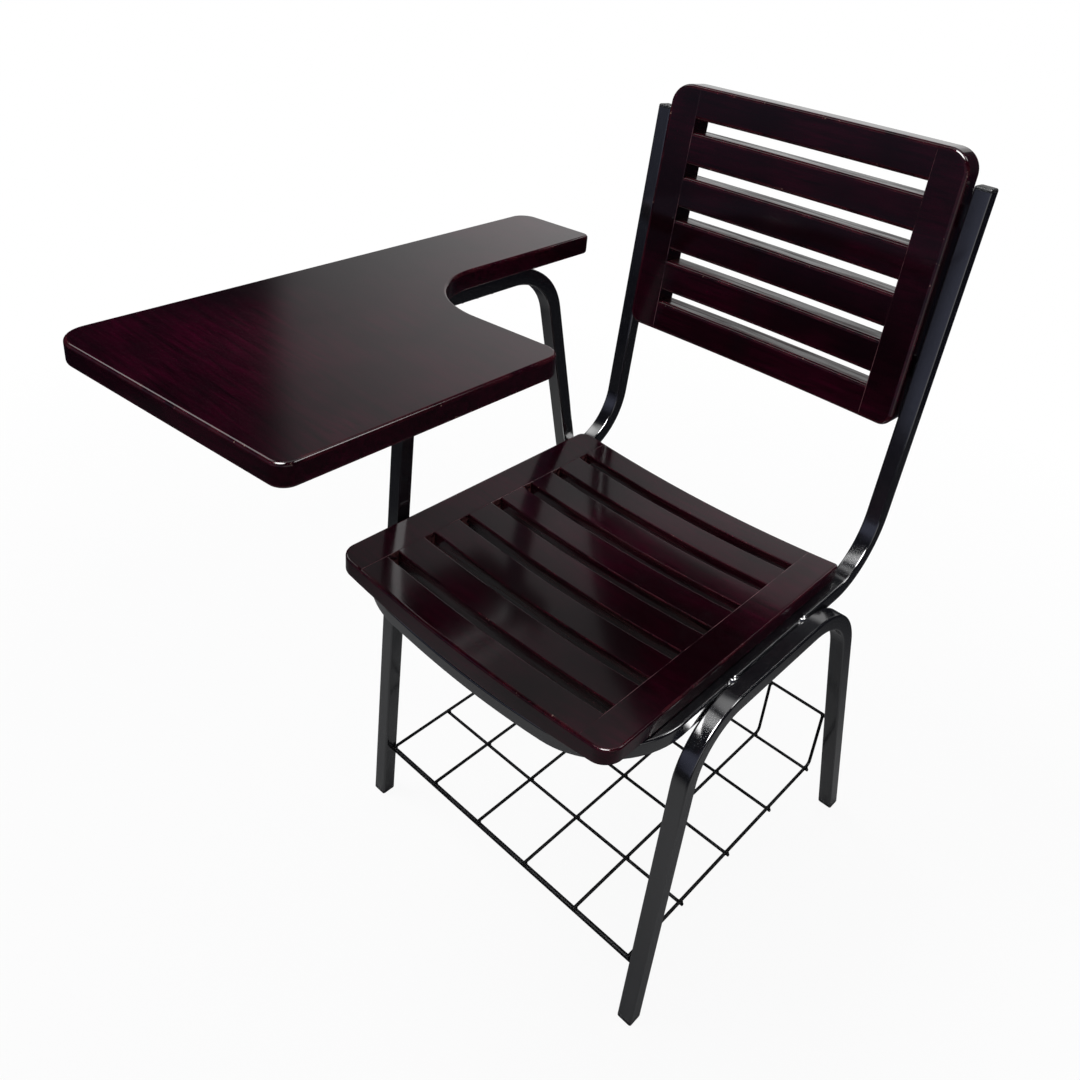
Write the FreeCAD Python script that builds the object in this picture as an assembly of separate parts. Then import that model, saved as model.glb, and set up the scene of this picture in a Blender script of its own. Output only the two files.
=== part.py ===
import FreeCAD, Part
import math
import os

# Tablet arm chair in millimetres: two bent tube hoops carry a bent seat and back tube,
# slatted wood, a writing board on the right-hand side and a wire rack under the seat.
# While it is built, X = 0 is the middle of the seat, Y = 0 the middle of the front feet,
# the sitter looks along -Y and Z = 0 is the floor.

# Square steel tube
tube = 19.0
tube_wall = 1.2
tube_corner = 2.5
overrun = 40.0

# Stance of the two hoops
hoop_side_gap = 11.5
weld_gap = 0.2
leg_rear_foot_flare = 9.0

# Leg hoop on the left-hand side of the sitter
leg_front_corner_y = 15.0
leg_rear_corner_y = 305.0
leg_rear_foot_y = 436.0
leg_front_bend = 68.0
leg_rear_bend = 102.0

# Arm hoop under the writing board
arm_front_corner_y = 21.0
arm_rear_corner_y = 233.0
arm_rear_foot_y = 425.0
arm_front_bend = 60.0
arm_rear_bend = 78.0

# Seat and back tube
front_rail_y = -76.0
front_rail_drop = 25.0
front_bow_share = 0.957
front_corner_bend = 86.0
upright_corner_y = 380.0
upright_bend = 78.0
upright_top = 876.0
upright_lean = 5.0
upright_splay = 4.5

# End plugs
foot_flange = 5.0
foot_stem = 18.0
cap_flange = 4.0
cap_stem = 16.0
plug_clearance = 0.3

# Slatted seat
seat_width = 382.0
seat_depth = 410.0
seat_front_y = -90.0
seat_edge_height = 452.0
seat_edge_thickness = 19.7
seat_dish = 10.0
seat_under_sag = 14.0
seat_front_corner = 20.0
seat_rear_left_corner = 5.0
seat_rear_right_corner = 15.0
seat_stile_width = 38.0
seat_slat_width = 38.0
seat_slat_count = 8
seat_lift = 0.3

# Slatted backrest
back_side_gap = 0.8
back_height = 306.0
back_thickness = 30.0
back_hollow = 5.0
back_bottom_height = 604.5
back_proud = 11.0
back_top_corner = 25.0
back_bottom_corner = 15.0
back_stile_width = 38.0
back_rail_width = 38.5
back_rail_count = 6

# Tenons of slats and rails
tenon_length = 14.0
tenon_thickness = 8.0
tenon_shoulder = 5.0
tenon_clearance = 0.2

# Writing board
board_top = 734.0
board_thickness = 23.0
board_overhang = 87.0
board_width = 303.0
board_arm_width = 104.0
board_front_y = -286.0
board_notch_y = 23.0
board_rear_y = 292.0
board_skew = 5.6
board_front_outer_corner = 28.0
board_front_inner_corner = 16.0
board_notch_outer_corner = 20.0
board_notch_bend = 82.0
board_rear_inner_corner = 9.0
board_rear_outer_corner = 22.0
board_edge_round = 2.0

# Steel tabs that hold the wood
tab_thickness = 3.0
tab_width = 25.0
tab_overlap = 30.0
seat_tab_inset = 110.0
back_tab_inset = 68.0

# Screws
screw_head = 8.0
screw_head_height = 2.6
screw_shank = 4.0
screw_bite = 13.0
screw_clearance = 0.1
board_screw_count = 3
board_screw_end = 14.0

# Wire rack
rod_diameter = 6.0
wire_diameter = 4.0
rack_height = 75.0
rack_side_gap = 8.0
rack_front_y = 7.5
rack_rear_y = 390.5
rack_turn_y = 398.0
rack_turn_bend = 7.0
rack_top_wire_height = 166.0
rack_cross_count = 5
rack_long_count = 6
wire_stub = 4.0

# Sizes that follow
half_tube = tube / 2
half_seat = seat_width / 2
hoop_x = half_seat + hoop_side_gap + half_tube
seat_tube_x = hoop_x - tube - weld_gap
rail_inner_x = seat_tube_x - half_tube
front_rail_run = math.hypot(seat_tube_x, front_rail_drop) - front_corner_bend
front_rail_bow = front_rail_run * front_bow_share * seat_tube_x / front_rail_drop
side_rail_top = seat_edge_height - seat_edge_thickness - seat_lift
rail_height = side_rail_top - half_tube
half_back = rail_inner_x - back_side_gap
board_outer_x = -hoop_x - board_overhang
board_inner_x = board_outer_x + board_width
board_arm_x = board_outer_x + board_arm_width
board_under = board_top - board_thickness
arm_rail_height = board_under - half_tube
lean = math.radians(upright_lean)
skew_slope = math.tan(math.radians(board_skew))
seat_slot = (seat_depth - seat_slat_count * seat_slat_width) / (seat_slat_count - 1)
back_slot = (back_height - back_rail_count * back_rail_width) / (back_rail_count - 1)
across = FreeCAD.Vector(1, 0, 0)
upward = FreeCAD.Vector(0, 0, 1)


def point(x, y, z):
    return FreeCAD.Vector(x, y, z)


def rounded_corner(before, corner, after, radius):
    """Start, middle and end of the arc that rounds a corner."""
    towards = (before - corner).normalize()
    away = (after - corner).normalize()
    half = towards.getAngle(away) / 2
    reach = radius / math.tan(half)
    bisector = (towards + away).normalize()
    middle = corner + bisector * (radius / math.sin(half) - radius)
    return corner + towards * reach, middle, corner + away * reach


def bent_path(points, radii):
    """Straight runs through the points with a tangent arc at each inner one."""
    edges = []
    start = points[0]
    for before, corner, after, radius in zip(points, points[1:], points[2:], radii):
        first, middle, last = rounded_corner(before, corner, after, radius)
        edges.append(Part.LineSegment(start, first).toShape())
        edges.append(Part.Arc(first, middle, last).toShape())
        start = last
    edges.append(Part.LineSegment(start, points[-1]).toShape())
    return Part.Wire(edges)


def rounded_loop(points, radii):
    """A closed outline whose corners are rounded by the given radii."""
    arcs = []
    for index, corner in enumerate(points):
        after = points[(index + 1) % len(points)]
        arcs.append(rounded_corner(points[index - 1], corner, after, radii[index]))
    edges = []
    for index, (first, middle, last) in enumerate(arcs):
        following = arcs[(index + 1) % len(arcs)][0]
        edges.append(Part.Arc(first, middle, last).toShape())
        edges.append(Part.LineSegment(last, following).toShape())
    return Part.Wire(edges)


def tube_section(centre, along, size, corner):
    """Rounded square across a tube, with one pair of sides level with the X axis."""
    up = along.cross(across).normalize() * (size / 2)
    side = up.cross(along).normalize() * (size / 2)
    points = [centre - side - up, centre + side - up, centre + side + up, centre - side + up]
    return rounded_loop(points, [corner] * len(points))


def swept(points, radii, size, corner):
    """A rounded square bar along a bent path."""
    along = (points[1] - points[0]).normalize()
    section = tube_section(points[0], along, size, corner)
    return Part.Solid(bent_path(points, radii).makePipeShell([section], True, False))


def hollow_tube(points, radii):
    bore = tube - 2 * tube_wall
    outer = swept(points, radii, tube, tube_corner)
    return outer.cut(swept(points, radii, bore, tube_corner - tube_wall))


def straight_bar(start, end, size, corner):
    """A rounded square bar between two points."""
    section = tube_section(start, (end - start).normalize(), size, corner)
    return Part.Face(section).extrude(end - start)


def slab(bottom, top):
    """Everything near the chair between two heights."""
    reach = seat_width + seat_depth + board_top
    corner = point(-reach, -reach, bottom)
    return Part.makeBox(2 * reach, 2 * reach, top - bottom, corner)


def rise(x, half_span, sag):
    """Height at x of an arc that sags between two points half_span each side of the middle."""
    radius = (half_span * half_span + sag * sag) / (2 * sag)
    return radius - math.sqrt(radius * radius - x * x)


def seat_top_at(x):
    return seat_edge_height - seat_dish + rise(x, half_seat, seat_dish)


def seat_under_at(x):
    return side_rail_top + seat_lift - seat_under_sag + rise(x, rail_inner_x, seat_under_sag)


def beyond(inner, end, length):
    """The point that lies a length past the end of a straight run."""
    return end + (end - inner).normalize() * length


def hoop_points(x, rail_z, front_corner_y, rear_corner_y, rear_foot_y, flare):
    """Front foot, both top corners and rear foot of a hoop."""
    return [
        point(x, 0, 0),
        point(x, front_corner_y, rail_z),
        point(x, rear_corner_y, rail_z),
        point(x + flare, rear_foot_y, 0),
    ]


leg_points = hoop_points(
    hoop_x,
    rail_height,
    leg_front_corner_y,
    leg_rear_corner_y,
    leg_rear_foot_y,
    leg_rear_foot_flare,
)
arm_points = hoop_points(
    -hoop_x,
    arm_rail_height,
    arm_front_corner_y,
    arm_rear_corner_y,
    arm_rear_foot_y,
    0,
)


def hoop(points, bends):
    """An upturned U of tube whose open ends stop at the foot plugs."""
    front, front_corner, rear_corner, rear = points
    front = beyond(front_corner, front, overrun)
    rear = beyond(rear_corner, rear, overrun)
    tube_solid = hollow_tube([front, front_corner, rear_corner, rear], bends)
    return tube_solid.cut(slab(-2 * overrun, foot_flange))


def board_screw_places():
    """Points on the underside of the board along the arm hoop's straight rail."""
    front = arm_front_corner_y + arm_front_bend + board_screw_end
    rear = arm_rear_corner_y - arm_rear_bend - board_screw_end
    step = (rear - front) / (board_screw_count - 1)
    return [point(-hoop_x, front + step * index, board_under) for index in range(board_screw_count)]


def arm_hoop():
    shape = hoop(arm_points, [arm_front_bend, arm_rear_bend])
    for place in board_screw_places():
        shape = shape.cut(screw_hole(place - upward * tube, upward, tube))
    return shape


def leg_hoop():
    return hoop(leg_points, [leg_front_bend, leg_rear_bend])


def foot_plug(inner, foot):
    """A plastic plug: a flange under the tube and a stem inside it."""
    low = beyond(inner, foot, overrun)
    stem_size = tube - 2 * tube_wall - 2 * plug_clearance
    stem_corner = tube_corner - tube_wall
    flange = straight_bar(inner, low, tube, tube_corner).common(slab(0, foot_flange))
    stem = straight_bar(inner, low, stem_size, stem_corner).common(slab(0, foot_flange + foot_stem))
    return flange.fuse(stem).removeSplitter()


def upright_end(side, height):
    """Middle of an upright at a height."""
    climb = height - rail_height
    spread = upright_splay * climb / (upright_top - rail_height)
    return point(side * (seat_tube_x + spread), upright_corner_y + climb * math.tan(lean), height)


upright_tube_top = upright_top - cap_flange * math.cos(lean)


def seat_back_tube():
    """One tube: left upright, side rail, dipped front rail, side rail, right upright."""
    points = [
        upright_end(-1, upright_tube_top),
        point(-seat_tube_x, upright_corner_y, rail_height),
        point(-seat_tube_x, front_rail_y, rail_height),
        point(0, front_rail_y, rail_height - front_rail_drop),
        point(seat_tube_x, front_rail_y, rail_height),
        point(seat_tube_x, upright_corner_y, rail_height),
        upright_end(1, upright_tube_top),
    ]
    bends = [upright_bend, front_corner_bend, front_rail_bow, front_corner_bend, upright_bend]
    return hollow_tube(points, bends)


def upright_cap(side):
    """A plug that closes the top of an upright."""
    end = upright_end(side, upright_tube_top)
    along = (end - upright_end(side, rail_height)).normalize()
    stem_size = tube - 2 * tube_wall - 2 * plug_clearance
    flange = straight_bar(end, end + along * cap_flange, tube, tube_corner)
    stem = straight_bar(end - along * cap_stem, end + along * cap_flange, stem_size, tube_corner - tube_wall)
    return flange.fuse(stem).removeSplitter()


def arc_edge(half, height_at, to_point):
    """An arc across the chair, from -half to half."""
    places = [to_point(x, height_at(x)) for x in (-half, 0, half)]
    return Part.Arc(*places).toShape()


def curved_slab(half, low_at, high_at, to_point, run):
    """A slab between two arcs, drawn out along a run."""
    low = arc_edge(half, low_at, to_point)
    high = arc_edge(half, high_at, to_point)
    left = Part.LineSegment(to_point(-half, high_at(half)), to_point(-half, low_at(half))).toShape()
    right = Part.LineSegment(to_point(half, low_at(half)), to_point(half, high_at(half))).toShape()
    return Part.Face(Part.Wire([low, right, high, left])).extrude(run)


def seat_point(x, height):
    return point(x, seat_front_y - overrun, height)


def back_point(x, depth):
    return point(x, depth, -overrun)


seat_run = point(0, seat_depth + 2 * overrun, 0)
back_run = point(0, 0, back_height + 2 * overrun)


def back_front_at(x):
    return back_hollow - rise(x, half_back, back_hollow)


def back_rear_at(x):
    return back_thickness + back_front_at(x)


def tab_rear_at(x):
    return tab_thickness + back_rear_at(x)


def tab_under_at(x):
    return seat_under_at(x) - tab_thickness


def plan_block(half, front, back, height, radii):
    """A block with rounded corners in plan, front corners first."""
    points = [point(-half, front, 0), point(half, front, 0), point(half, back, 0), point(-half, back, 0)]
    return Part.Face(rounded_loop(points, radii)).extrude(upward * height)


def box(low, high):
    size = high - low
    return Part.makeBox(size.x, size.y, size.z, low)


def seat_blank():
    body = curved_slab(half_seat + overrun, seat_under_at, seat_top_at, seat_point, seat_run)
    seat_corners = [seat_front_corner, seat_front_corner, seat_rear_left_corner, seat_rear_right_corner]
    plan = plan_block(half_seat, seat_front_y, seat_front_y + seat_depth, board_top, seat_corners)
    return body.common(plan)


def slat_front(index):
    return seat_front_y + index * (seat_slat_width + seat_slot)


def seat_tenon(side, index, clearance):
    """End of a slat that goes into a stile, or its mortise with clearance."""
    joint = half_seat - seat_stile_width
    middle = (seat_top_at(joint) + seat_under_at(joint)) / 2
    inner = joint - seat_stile_width
    outer = joint + tenon_length + clearance
    front = slat_front(index) + tenon_shoulder - clearance
    back = slat_front(index) + seat_slat_width - tenon_shoulder + clearance
    reach = tenon_thickness / 2 + clearance
    ends = sorted([side * inner, side * outer])
    return box(point(ends[0], front, middle - reach), point(ends[1], back, middle + reach))


def seat_slat(blank, index):
    joint = half_seat - seat_stile_width
    front = slat_front(index)
    piece = blank.common(box(point(-joint, front, 0), point(joint, front + seat_slat_width, board_top)))
    for side in (-1, 1):
        piece = piece.fuse(seat_tenon(side, index, 0))
    return piece.removeSplitter()


def seat_stile(blank, side):
    ends = sorted([side * (half_seat - seat_stile_width), side * (half_seat + overrun)])
    low = point(ends[0], seat_front_y - overrun, 0)
    piece = blank.common(box(low, point(ends[1], seat_front_y + seat_depth + overrun, board_top)))
    for index in range(seat_slat_count):
        piece = piece.cut(seat_tenon(side, index, tenon_clearance))
    for place, direction in seat_screw_places(side):
        piece = piece.cut(screw_hole(place, direction, screw_bite))
    return piece


def seat_tab_middles():
    return [seat_front_y + seat_tab_inset, seat_front_y + seat_depth - seat_tab_inset]


def seat_screw_places(side):
    """Where the screws enter a stile's curved underside, and their direction."""
    x = side * (half_seat - seat_stile_width / 2)
    radius = (rail_inner_x * rail_inner_x + seat_under_sag * seat_under_sag) / (2 * seat_under_sag)
    direction = point(-x, 0, math.sqrt(radius * radius - x * x)).normalize()
    return [(point(x, y, seat_under_at(x)), direction) for y in seat_tab_middles()]


def seat_tab(side, y):
    """A steel tab on a side rail's inner face that follows the seat's underside."""
    band = curved_slab(seat_tube_x, tab_under_at, seat_under_at, seat_point, seat_run)
    ends = sorted([side * (rail_inner_x - tab_overlap), side * rail_inner_x])
    low = point(ends[0], y - tab_width / 2, 0)
    piece = band.common(box(low, point(ends[1], y + tab_width / 2, board_top)))
    for place, direction in seat_screw_places(side):
        piece = piece.cut(screw_hole(place - direction * tab_thickness, direction, tab_thickness))
    return piece


def screw_hole(entry, direction, depth):
    radius = screw_shank / 2 + screw_clearance
    start = entry - direction * screw_clearance
    return Part.makeCylinder(radius, depth + 2 * screw_clearance, start, direction)


def screw(entry, direction, grip):
    """A pan head screw whose head seats at the entry and whose shank bites past the grip."""
    base = entry - direction * screw_head_height
    head = Part.makeCylinder(screw_head / 2, screw_head_height, base, direction)
    shank = Part.makeCylinder(screw_shank / 2, grip + screw_bite, entry, direction)
    return head.fuse(shank).removeSplitter()


def seat_screws():
    screws = []
    for side in (-1, 1):
        for place, direction in seat_screw_places(side):
            screws.append(screw(place - direction * tab_thickness, direction, tab_thickness))
    return Part.Compound(screws)


def board_screws():
    return Part.Compound([screw(place - upward * tube, upward, tube) for place in board_screw_places()])


def lean_back(shape):
    """Set a backrest piece from its upright drawing position against the uprights."""
    foot = upright_end(0, back_bottom_height)
    shape = shape.copy()
    shape.rotate(point(0, 0, 0), across, -upright_lean)
    shape.translate(point(0, foot.y - half_tube / math.cos(lean) - back_proud, back_bottom_height))
    return shape


def back_blank():
    body = curved_slab(half_back + overrun, back_rear_at, back_front_at, back_point, back_run)
    points = [
        point(-half_back, 0, 0),
        point(half_back, 0, 0),
        point(half_back, 0, back_height),
        point(-half_back, 0, back_height),
    ]
    radii = [back_bottom_corner, back_bottom_corner, back_top_corner, back_top_corner]
    outline = Part.Face(rounded_loop(points, radii))
    outline.translate(point(0, -overrun, 0))
    return body.common(outline.extrude(point(0, 2 * (overrun + back_thickness), 0)))


def rail_bottom(index):
    return index * (back_rail_width + back_slot)


def back_tenon(side, index, clearance):
    """End of a back rail that goes into a stile, or its mortise with clearance."""
    joint = half_back - back_stile_width
    middle = back_front_at(joint) + back_thickness / 2
    reach = tenon_thickness / 2 + clearance
    ends = sorted([side * (joint - back_stile_width), side * (joint + tenon_length + clearance)])
    low = rail_bottom(index) + tenon_shoulder - clearance
    high = rail_bottom(index) + back_rail_width - tenon_shoulder + clearance
    return box(point(ends[0], middle - reach, low), point(ends[1], middle + reach, high))


def back_rail(blank, index):
    joint = half_back - back_stile_width
    low = point(-joint, -back_thickness, rail_bottom(index))
    high = point(joint, 2 * back_thickness, rail_bottom(index) + back_rail_width)
    piece = blank.common(box(low, high))
    for side in (-1, 1):
        piece = piece.fuse(back_tenon(side, index, 0))
    return lean_back(piece.removeSplitter())


def back_stile(blank, side):
    ends = sorted([side * (half_back - back_stile_width), side * (half_back + overrun)])
    low = point(ends[0], -back_thickness, -overrun)
    piece = blank.common(box(low, point(ends[1], 2 * back_thickness, back_height + overrun)))
    for index in range(back_rail_count):
        piece = piece.cut(back_tenon(side, index, tenon_clearance))
    for place, direction in back_screw_places(side):
        piece = piece.cut(screw_hole(place, direction, screw_bite))
    return lean_back(piece)


def back_tab_middles():
    return [back_tab_inset, back_height - back_tab_inset]


def back_screw_places(side):
    """Where the screws enter a back stile from behind, and their direction."""
    x = side * (half_back - back_stile_width / 2)
    radius = (half_back * half_back + back_hollow * back_hollow) / (2 * back_hollow)
    direction = point(-x, -math.sqrt(radius * radius - x * x), 0).normalize()
    return [(point(x, back_rear_at(x), z), direction) for z in back_tab_middles()]


def back_tab(side, z):
    """A steel tab on an upright's inner face, behind a back stile."""
    band = curved_slab(hoop_x, tab_rear_at, back_rear_at, back_point, back_run)
    ends = sorted([side * (rail_inner_x - tab_overlap), side * seat_tube_x])
    low = point(ends[0], 0, z - tab_width / 2)
    piece = band.common(box(low, point(ends[1], 2 * back_thickness, z + tab_width / 2)))
    for place, direction in back_screw_places(side):
        piece = piece.cut(screw_hole(place - direction * tab_thickness, direction, tab_thickness))
    upright = straight_bar(upright_end(side, rail_height), upright_end(side, upright_top), tube, tube_corner)
    return lean_back(piece).cut(upright)


def back_screws():
    screws = []
    for side in (-1, 1):
        for place, direction in back_screw_places(side):
            screws.append(screw(place - direction * tab_thickness, direction, tab_thickness))
    return lean_back(Part.Compound(screws))


def skewed(x, y, pivot_x):
    """A point on one of the board's cross edges, which all run at a slant to the seat."""
    return point(x, y + (x - pivot_x) * skew_slope, board_under)


def writing_board():
    points = [
        skewed(board_outer_x, board_front_y, board_inner_x),
        skewed(board_inner_x, board_front_y, board_inner_x),
        skewed(board_inner_x, board_notch_y, board_inner_x),
        skewed(board_arm_x, board_notch_y, board_inner_x),
        skewed(board_arm_x, board_rear_y, board_arm_x),
        skewed(board_outer_x, board_rear_y, board_arm_x),
    ]
    radii = [
        board_front_outer_corner,
        board_front_inner_corner,
        board_notch_outer_corner,
        board_notch_bend,
        board_rear_inner_corner,
        board_rear_outer_corner,
    ]
    board = Part.Face(rounded_loop(points, radii)).extrude(upward * board_thickness)
    rims = [edge for edge in board.Edges if edge.BoundBox.ZLength < board_thickness / 2]
    board = board.makeFillet(board_edge_round, rims)
    for place in board_screw_places():
        board = board.cut(screw_hole(place, upward, screw_bite))
    return board


def rod(diameter, right_x, left_x, y, z):
    """A straight rack rod across the chair."""
    return Part.makeCylinder(diameter / 2, left_x - right_x, point(right_x, y, z), across)


leg_inner_x = hoop_x - half_tube
rack_right_x = wire_diameter / 2 - leg_inner_x
rack_left_x = leg_inner_x - rack_side_gap
long_wire_height = rack_height + wire_diameter


def rack_front_rod():
    drop = (rod_diameter - wire_diameter) / 2
    return rod(rod_diameter, -leg_inner_x, leg_inner_x, rack_front_y, rack_height - drop)


def cross_wire(y, z):
    """A thin rod that ends just past the outer long wires."""
    return rod(wire_diameter, -leg_inner_x, rack_left_x + wire_stub, y, z)


def rack_cross_wire(index):
    step = (rack_rear_y - rack_front_y) / (rack_cross_count - 1)
    return cross_wire(rack_front_y + step * index, rack_height)


def rack_top_wire():
    return cross_wire(rack_turn_y + wire_diameter, rack_top_wire_height)


def rack_long_wire(index):
    """A wire from the front rod to the rear, turned up behind the last cross wire."""
    x = rack_right_x + index * (rack_left_x - rack_right_x) / (rack_long_count - 1)
    points = [
        point(x, rack_front_y - wire_stub, long_wire_height),
        point(x, rack_turn_y, long_wire_height),
        point(x, rack_turn_y, rack_top_wire_height + wire_stub),
    ]
    circle = Part.makeCircle(wire_diameter / 2, points[0], point(0, 1, 0))
    path = bent_path(points, [rack_turn_bend])
    return Part.Solid(path.makePipeShell([Part.Wire(circle)], True, False))


def all_parts():
    parts = {"arm_hoop": arm_hoop(), "leg_hoop": leg_hoop(), "seat_back_tube": seat_back_tube()}
    seat = seat_blank()
    back = back_blank()
    for side, name in ((-1, "right"), (1, "left")):
        hoop_ends = arm_points if side < 0 else leg_points
        parts["foot_plug_front_" + name] = foot_plug(hoop_ends[1], hoop_ends[0])
        parts["foot_plug_rear_" + name] = foot_plug(hoop_ends[2], hoop_ends[3])
        parts["upright_cap_" + name] = upright_cap(side)
        parts["seat_stile_" + name] = seat_stile(seat, side)
        parts["back_stile_" + name] = back_stile(back, side)
        for row, y in zip(("front", "rear"), seat_tab_middles()):
            parts["seat_tab_" + row + "_" + name] = seat_tab(side, y)
        for row, z in zip(("lower", "upper"), back_tab_middles()):
            parts["back_tab_" + row + "_" + name] = back_tab(side, z)
    for index in range(seat_slat_count):
        parts["seat_slat_%d" % (index + 1)] = seat_slat(seat, index)
    for index in range(back_rail_count):
        parts["back_rail_%d" % (index + 1)] = back_rail(back, index)
    parts["writing_board"] = writing_board()
    parts["seat_screws"] = seat_screws()
    parts["back_screws"] = back_screws()
    parts["board_screws"] = board_screws()
    parts["rack_front_rod"] = rack_front_rod()
    for index in range(1, rack_cross_count):
        parts["rack_cross_wire_%d" % index] = rack_cross_wire(index)
    parts["rack_top_wire"] = rack_top_wire()
    for index in range(rack_long_count):
        parts["rack_long_wire_%d" % (index + 1)] = rack_long_wire(index)
    return parts


def centred(parts):
    """Move the parts so that the origin is on the floor under the middle of their box."""
    bounds = Part.Compound(list(parts.values())).optimalBoundingBox(False, False)
    shift = point(-bounds.Center.x, -bounds.Center.y, 0)
    print("origin moved by", shift, "size", bounds.XLength, bounds.YLength, bounds.ZLength)
    for shape in parts.values():
        shape.translate(shift)
    return parts


os.makedirs("parts", exist_ok=True)
for part_name, part_shape in centred(all_parts()).items():
    part_shape.exportStep("parts/" + part_name + ".step")
    print(part_name, len(part_shape.Solids), round(part_shape.Volume), part_shape.isValid())
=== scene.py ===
import math

import bmesh
import bpy
from bpy.props import FloatProperty, FloatVectorProperty, IntProperty, PointerProperty
from mathutils import Matrix, Vector


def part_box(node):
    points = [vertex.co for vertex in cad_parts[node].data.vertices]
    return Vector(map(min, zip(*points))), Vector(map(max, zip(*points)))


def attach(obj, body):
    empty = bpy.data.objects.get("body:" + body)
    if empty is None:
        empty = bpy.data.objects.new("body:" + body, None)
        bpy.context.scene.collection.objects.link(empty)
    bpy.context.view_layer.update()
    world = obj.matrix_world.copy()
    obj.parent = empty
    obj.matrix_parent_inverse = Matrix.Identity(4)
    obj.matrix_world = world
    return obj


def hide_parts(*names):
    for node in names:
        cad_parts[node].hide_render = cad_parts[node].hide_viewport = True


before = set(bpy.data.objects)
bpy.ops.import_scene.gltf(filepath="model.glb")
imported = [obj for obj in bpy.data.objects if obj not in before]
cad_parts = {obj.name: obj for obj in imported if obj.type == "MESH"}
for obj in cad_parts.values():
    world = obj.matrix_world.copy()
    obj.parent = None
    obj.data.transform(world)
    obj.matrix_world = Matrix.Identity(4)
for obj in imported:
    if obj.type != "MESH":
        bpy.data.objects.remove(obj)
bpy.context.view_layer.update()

bl_info = {
    "name": "Tablet Arm Chair",
    "version": (1, 0, 0),
    "blender": (4, 5, 0),
    "location": "View3D > Sidebar > Chair",
    "description": "Dresses the packed tablet arm chair with wood, painted tube and a wire rack",
    "category": "Object",
}

BODY = "root"
ACROSS = Vector((1, 0, 0))
REARWARD = Vector((0, 1, 0))
UPWARD = Vector((0, 0, 1))
HALF = 0.5
QUARTER_TURN = math.pi * HALF
WHITE = (1, 1, 1)

# Distances in metres below which points count as one
SAME_PLACE = 1e-6
SAME_CUT = 1e-7

# Angles in degrees past which an edge stays sharp
SHARP_EDGE = 40.0
SHARP_WIRE = 50.0
SHARP_SPOT = 60.0
SHARP_BEAD = 70.0

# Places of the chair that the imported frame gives
SEAT_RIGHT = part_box("seat_stile_right")
SEAT_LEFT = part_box("seat_stile_left")
SEAT_WIDTH = SEAT_LEFT[1].x - SEAT_RIGHT[0].x
SEAT_EDGE_HEIGHT = SEAT_LEFT[1].z
BOARD_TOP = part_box("writing_board")[1].z
BOARD_THICKNESS = BOARD_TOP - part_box("writing_board")[0].z

# Patterns of the finishes, each with the scale, detail, roughness and distortion of its noise
PATTERNS = {
    "grain": (16.0, 6.0, 0.6, 0.6),
    "fibres": (70.0, 3.0, 0.6, 0.0),
    "clouds": (5.5, 3.0, 0.55, 0.0),
    "rubbing": (38.0, 5.0, 0.7, 0.0),
    "knocks": (17.0, 2.0, 0.5, 0.0),
    "chips": (230.0, 2.0, 0.5, 0.0),
    "saw_marks": (9.0, 3.0, 0.6, 0.0),
    "filler": (26.0, 4.0, 0.7, 0.0),
    "wood_smudges": (22.0, 5.0, 0.65, 0.0),
    "paint_patches": (11.0, 6.0, 0.7, 0.0),
    "paint_smudges": (28.0, 4.0, 0.6, 0.0),
    "paint_ripple": (260.0, 2.0, 0.5, 0.0),
    "wire_patches": (30.0, 2.0, 0.5, 0.0),
    "plastic_scuffs": (160.0, 5.0, 0.7, 0.0),
    "plastic_pits": (900.0, 2.0, 0.5, 0.0),
    "zinc_dulling": (600.0, 4.0, 0.7, 0.0),
}
GRAIN_STRETCH = (1.0, 14.0, 14.0)
SAW_STRETCH = (1.0, 18.0, 18.0)

# Place on the seat round which the clear coat is thinned as painted shade, taking its reflection away; from
# the middle of the seat and the front feet
PAINTED_SHADE_PLACE = (0.16, 0.09, 0.45)
PAINTED_SHADE_INNER = 0.09
PAINTED_SHADE_OUTER = 0.24

# Directions from the chair to the lamps
KEY_WAY = Vector((-0.45, -0.25, 0.86))
OVERHEAD_WAY = Vector((-0.08, 0.23, 0.97))

# Small lamps that only polished faces show: the way to each, and the cosines between which it comes up
GLOSS_LAMPS = {
    "ceiling": ((-0.05, 0.25, 0.967), 0.93, 0.96),
    "left": ((-0.68, -0.05, 0.73), 0.965, 0.985),
    "right": ((0.92, -0.33, -0.20), 0.90, 0.95),
    "front": ((0.15, -0.46, 0.87), 0.94, 0.965),
    "edge": ((-0.38, -0.28, 0.88), 0.975, 0.99),
    "rear": ((0.54, 0.46, 0.70), 0.982, 0.992),
}


def nodes_named(start):
    return sorted(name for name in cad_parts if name.startswith(start))


def length(label, default, text):
    return FloatProperty(name=label, description=text, default=default, unit="LENGTH", precision=4)


def share(label, default, text):
    return FloatProperty(name=label, description=text, default=default, min=0, max=1, subtype="FACTOR")


def turn(label, degrees, text):
    return FloatProperty(name=label, description=text, default=math.radians(degrees), subtype="ANGLE")


def strength(label, default, text):
    return FloatProperty(name=label, description=text, default=default, min=0)


def number(label, default, text):
    return FloatProperty(name=label, description=text, default=default, precision=4)


def millimetres(label, default, text):
    return FloatProperty(name=label, description=text, default=default, subtype="DISTANCE_CAMERA")


def count(label, default, text):
    return IntProperty(name=label, description=text, default=default, min=1)


def colour(label, default, text):
    return FloatVectorProperty(
        name=label, description=text, default=default, min=0, max=1, size=3, subtype="COLOR"
    )


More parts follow.
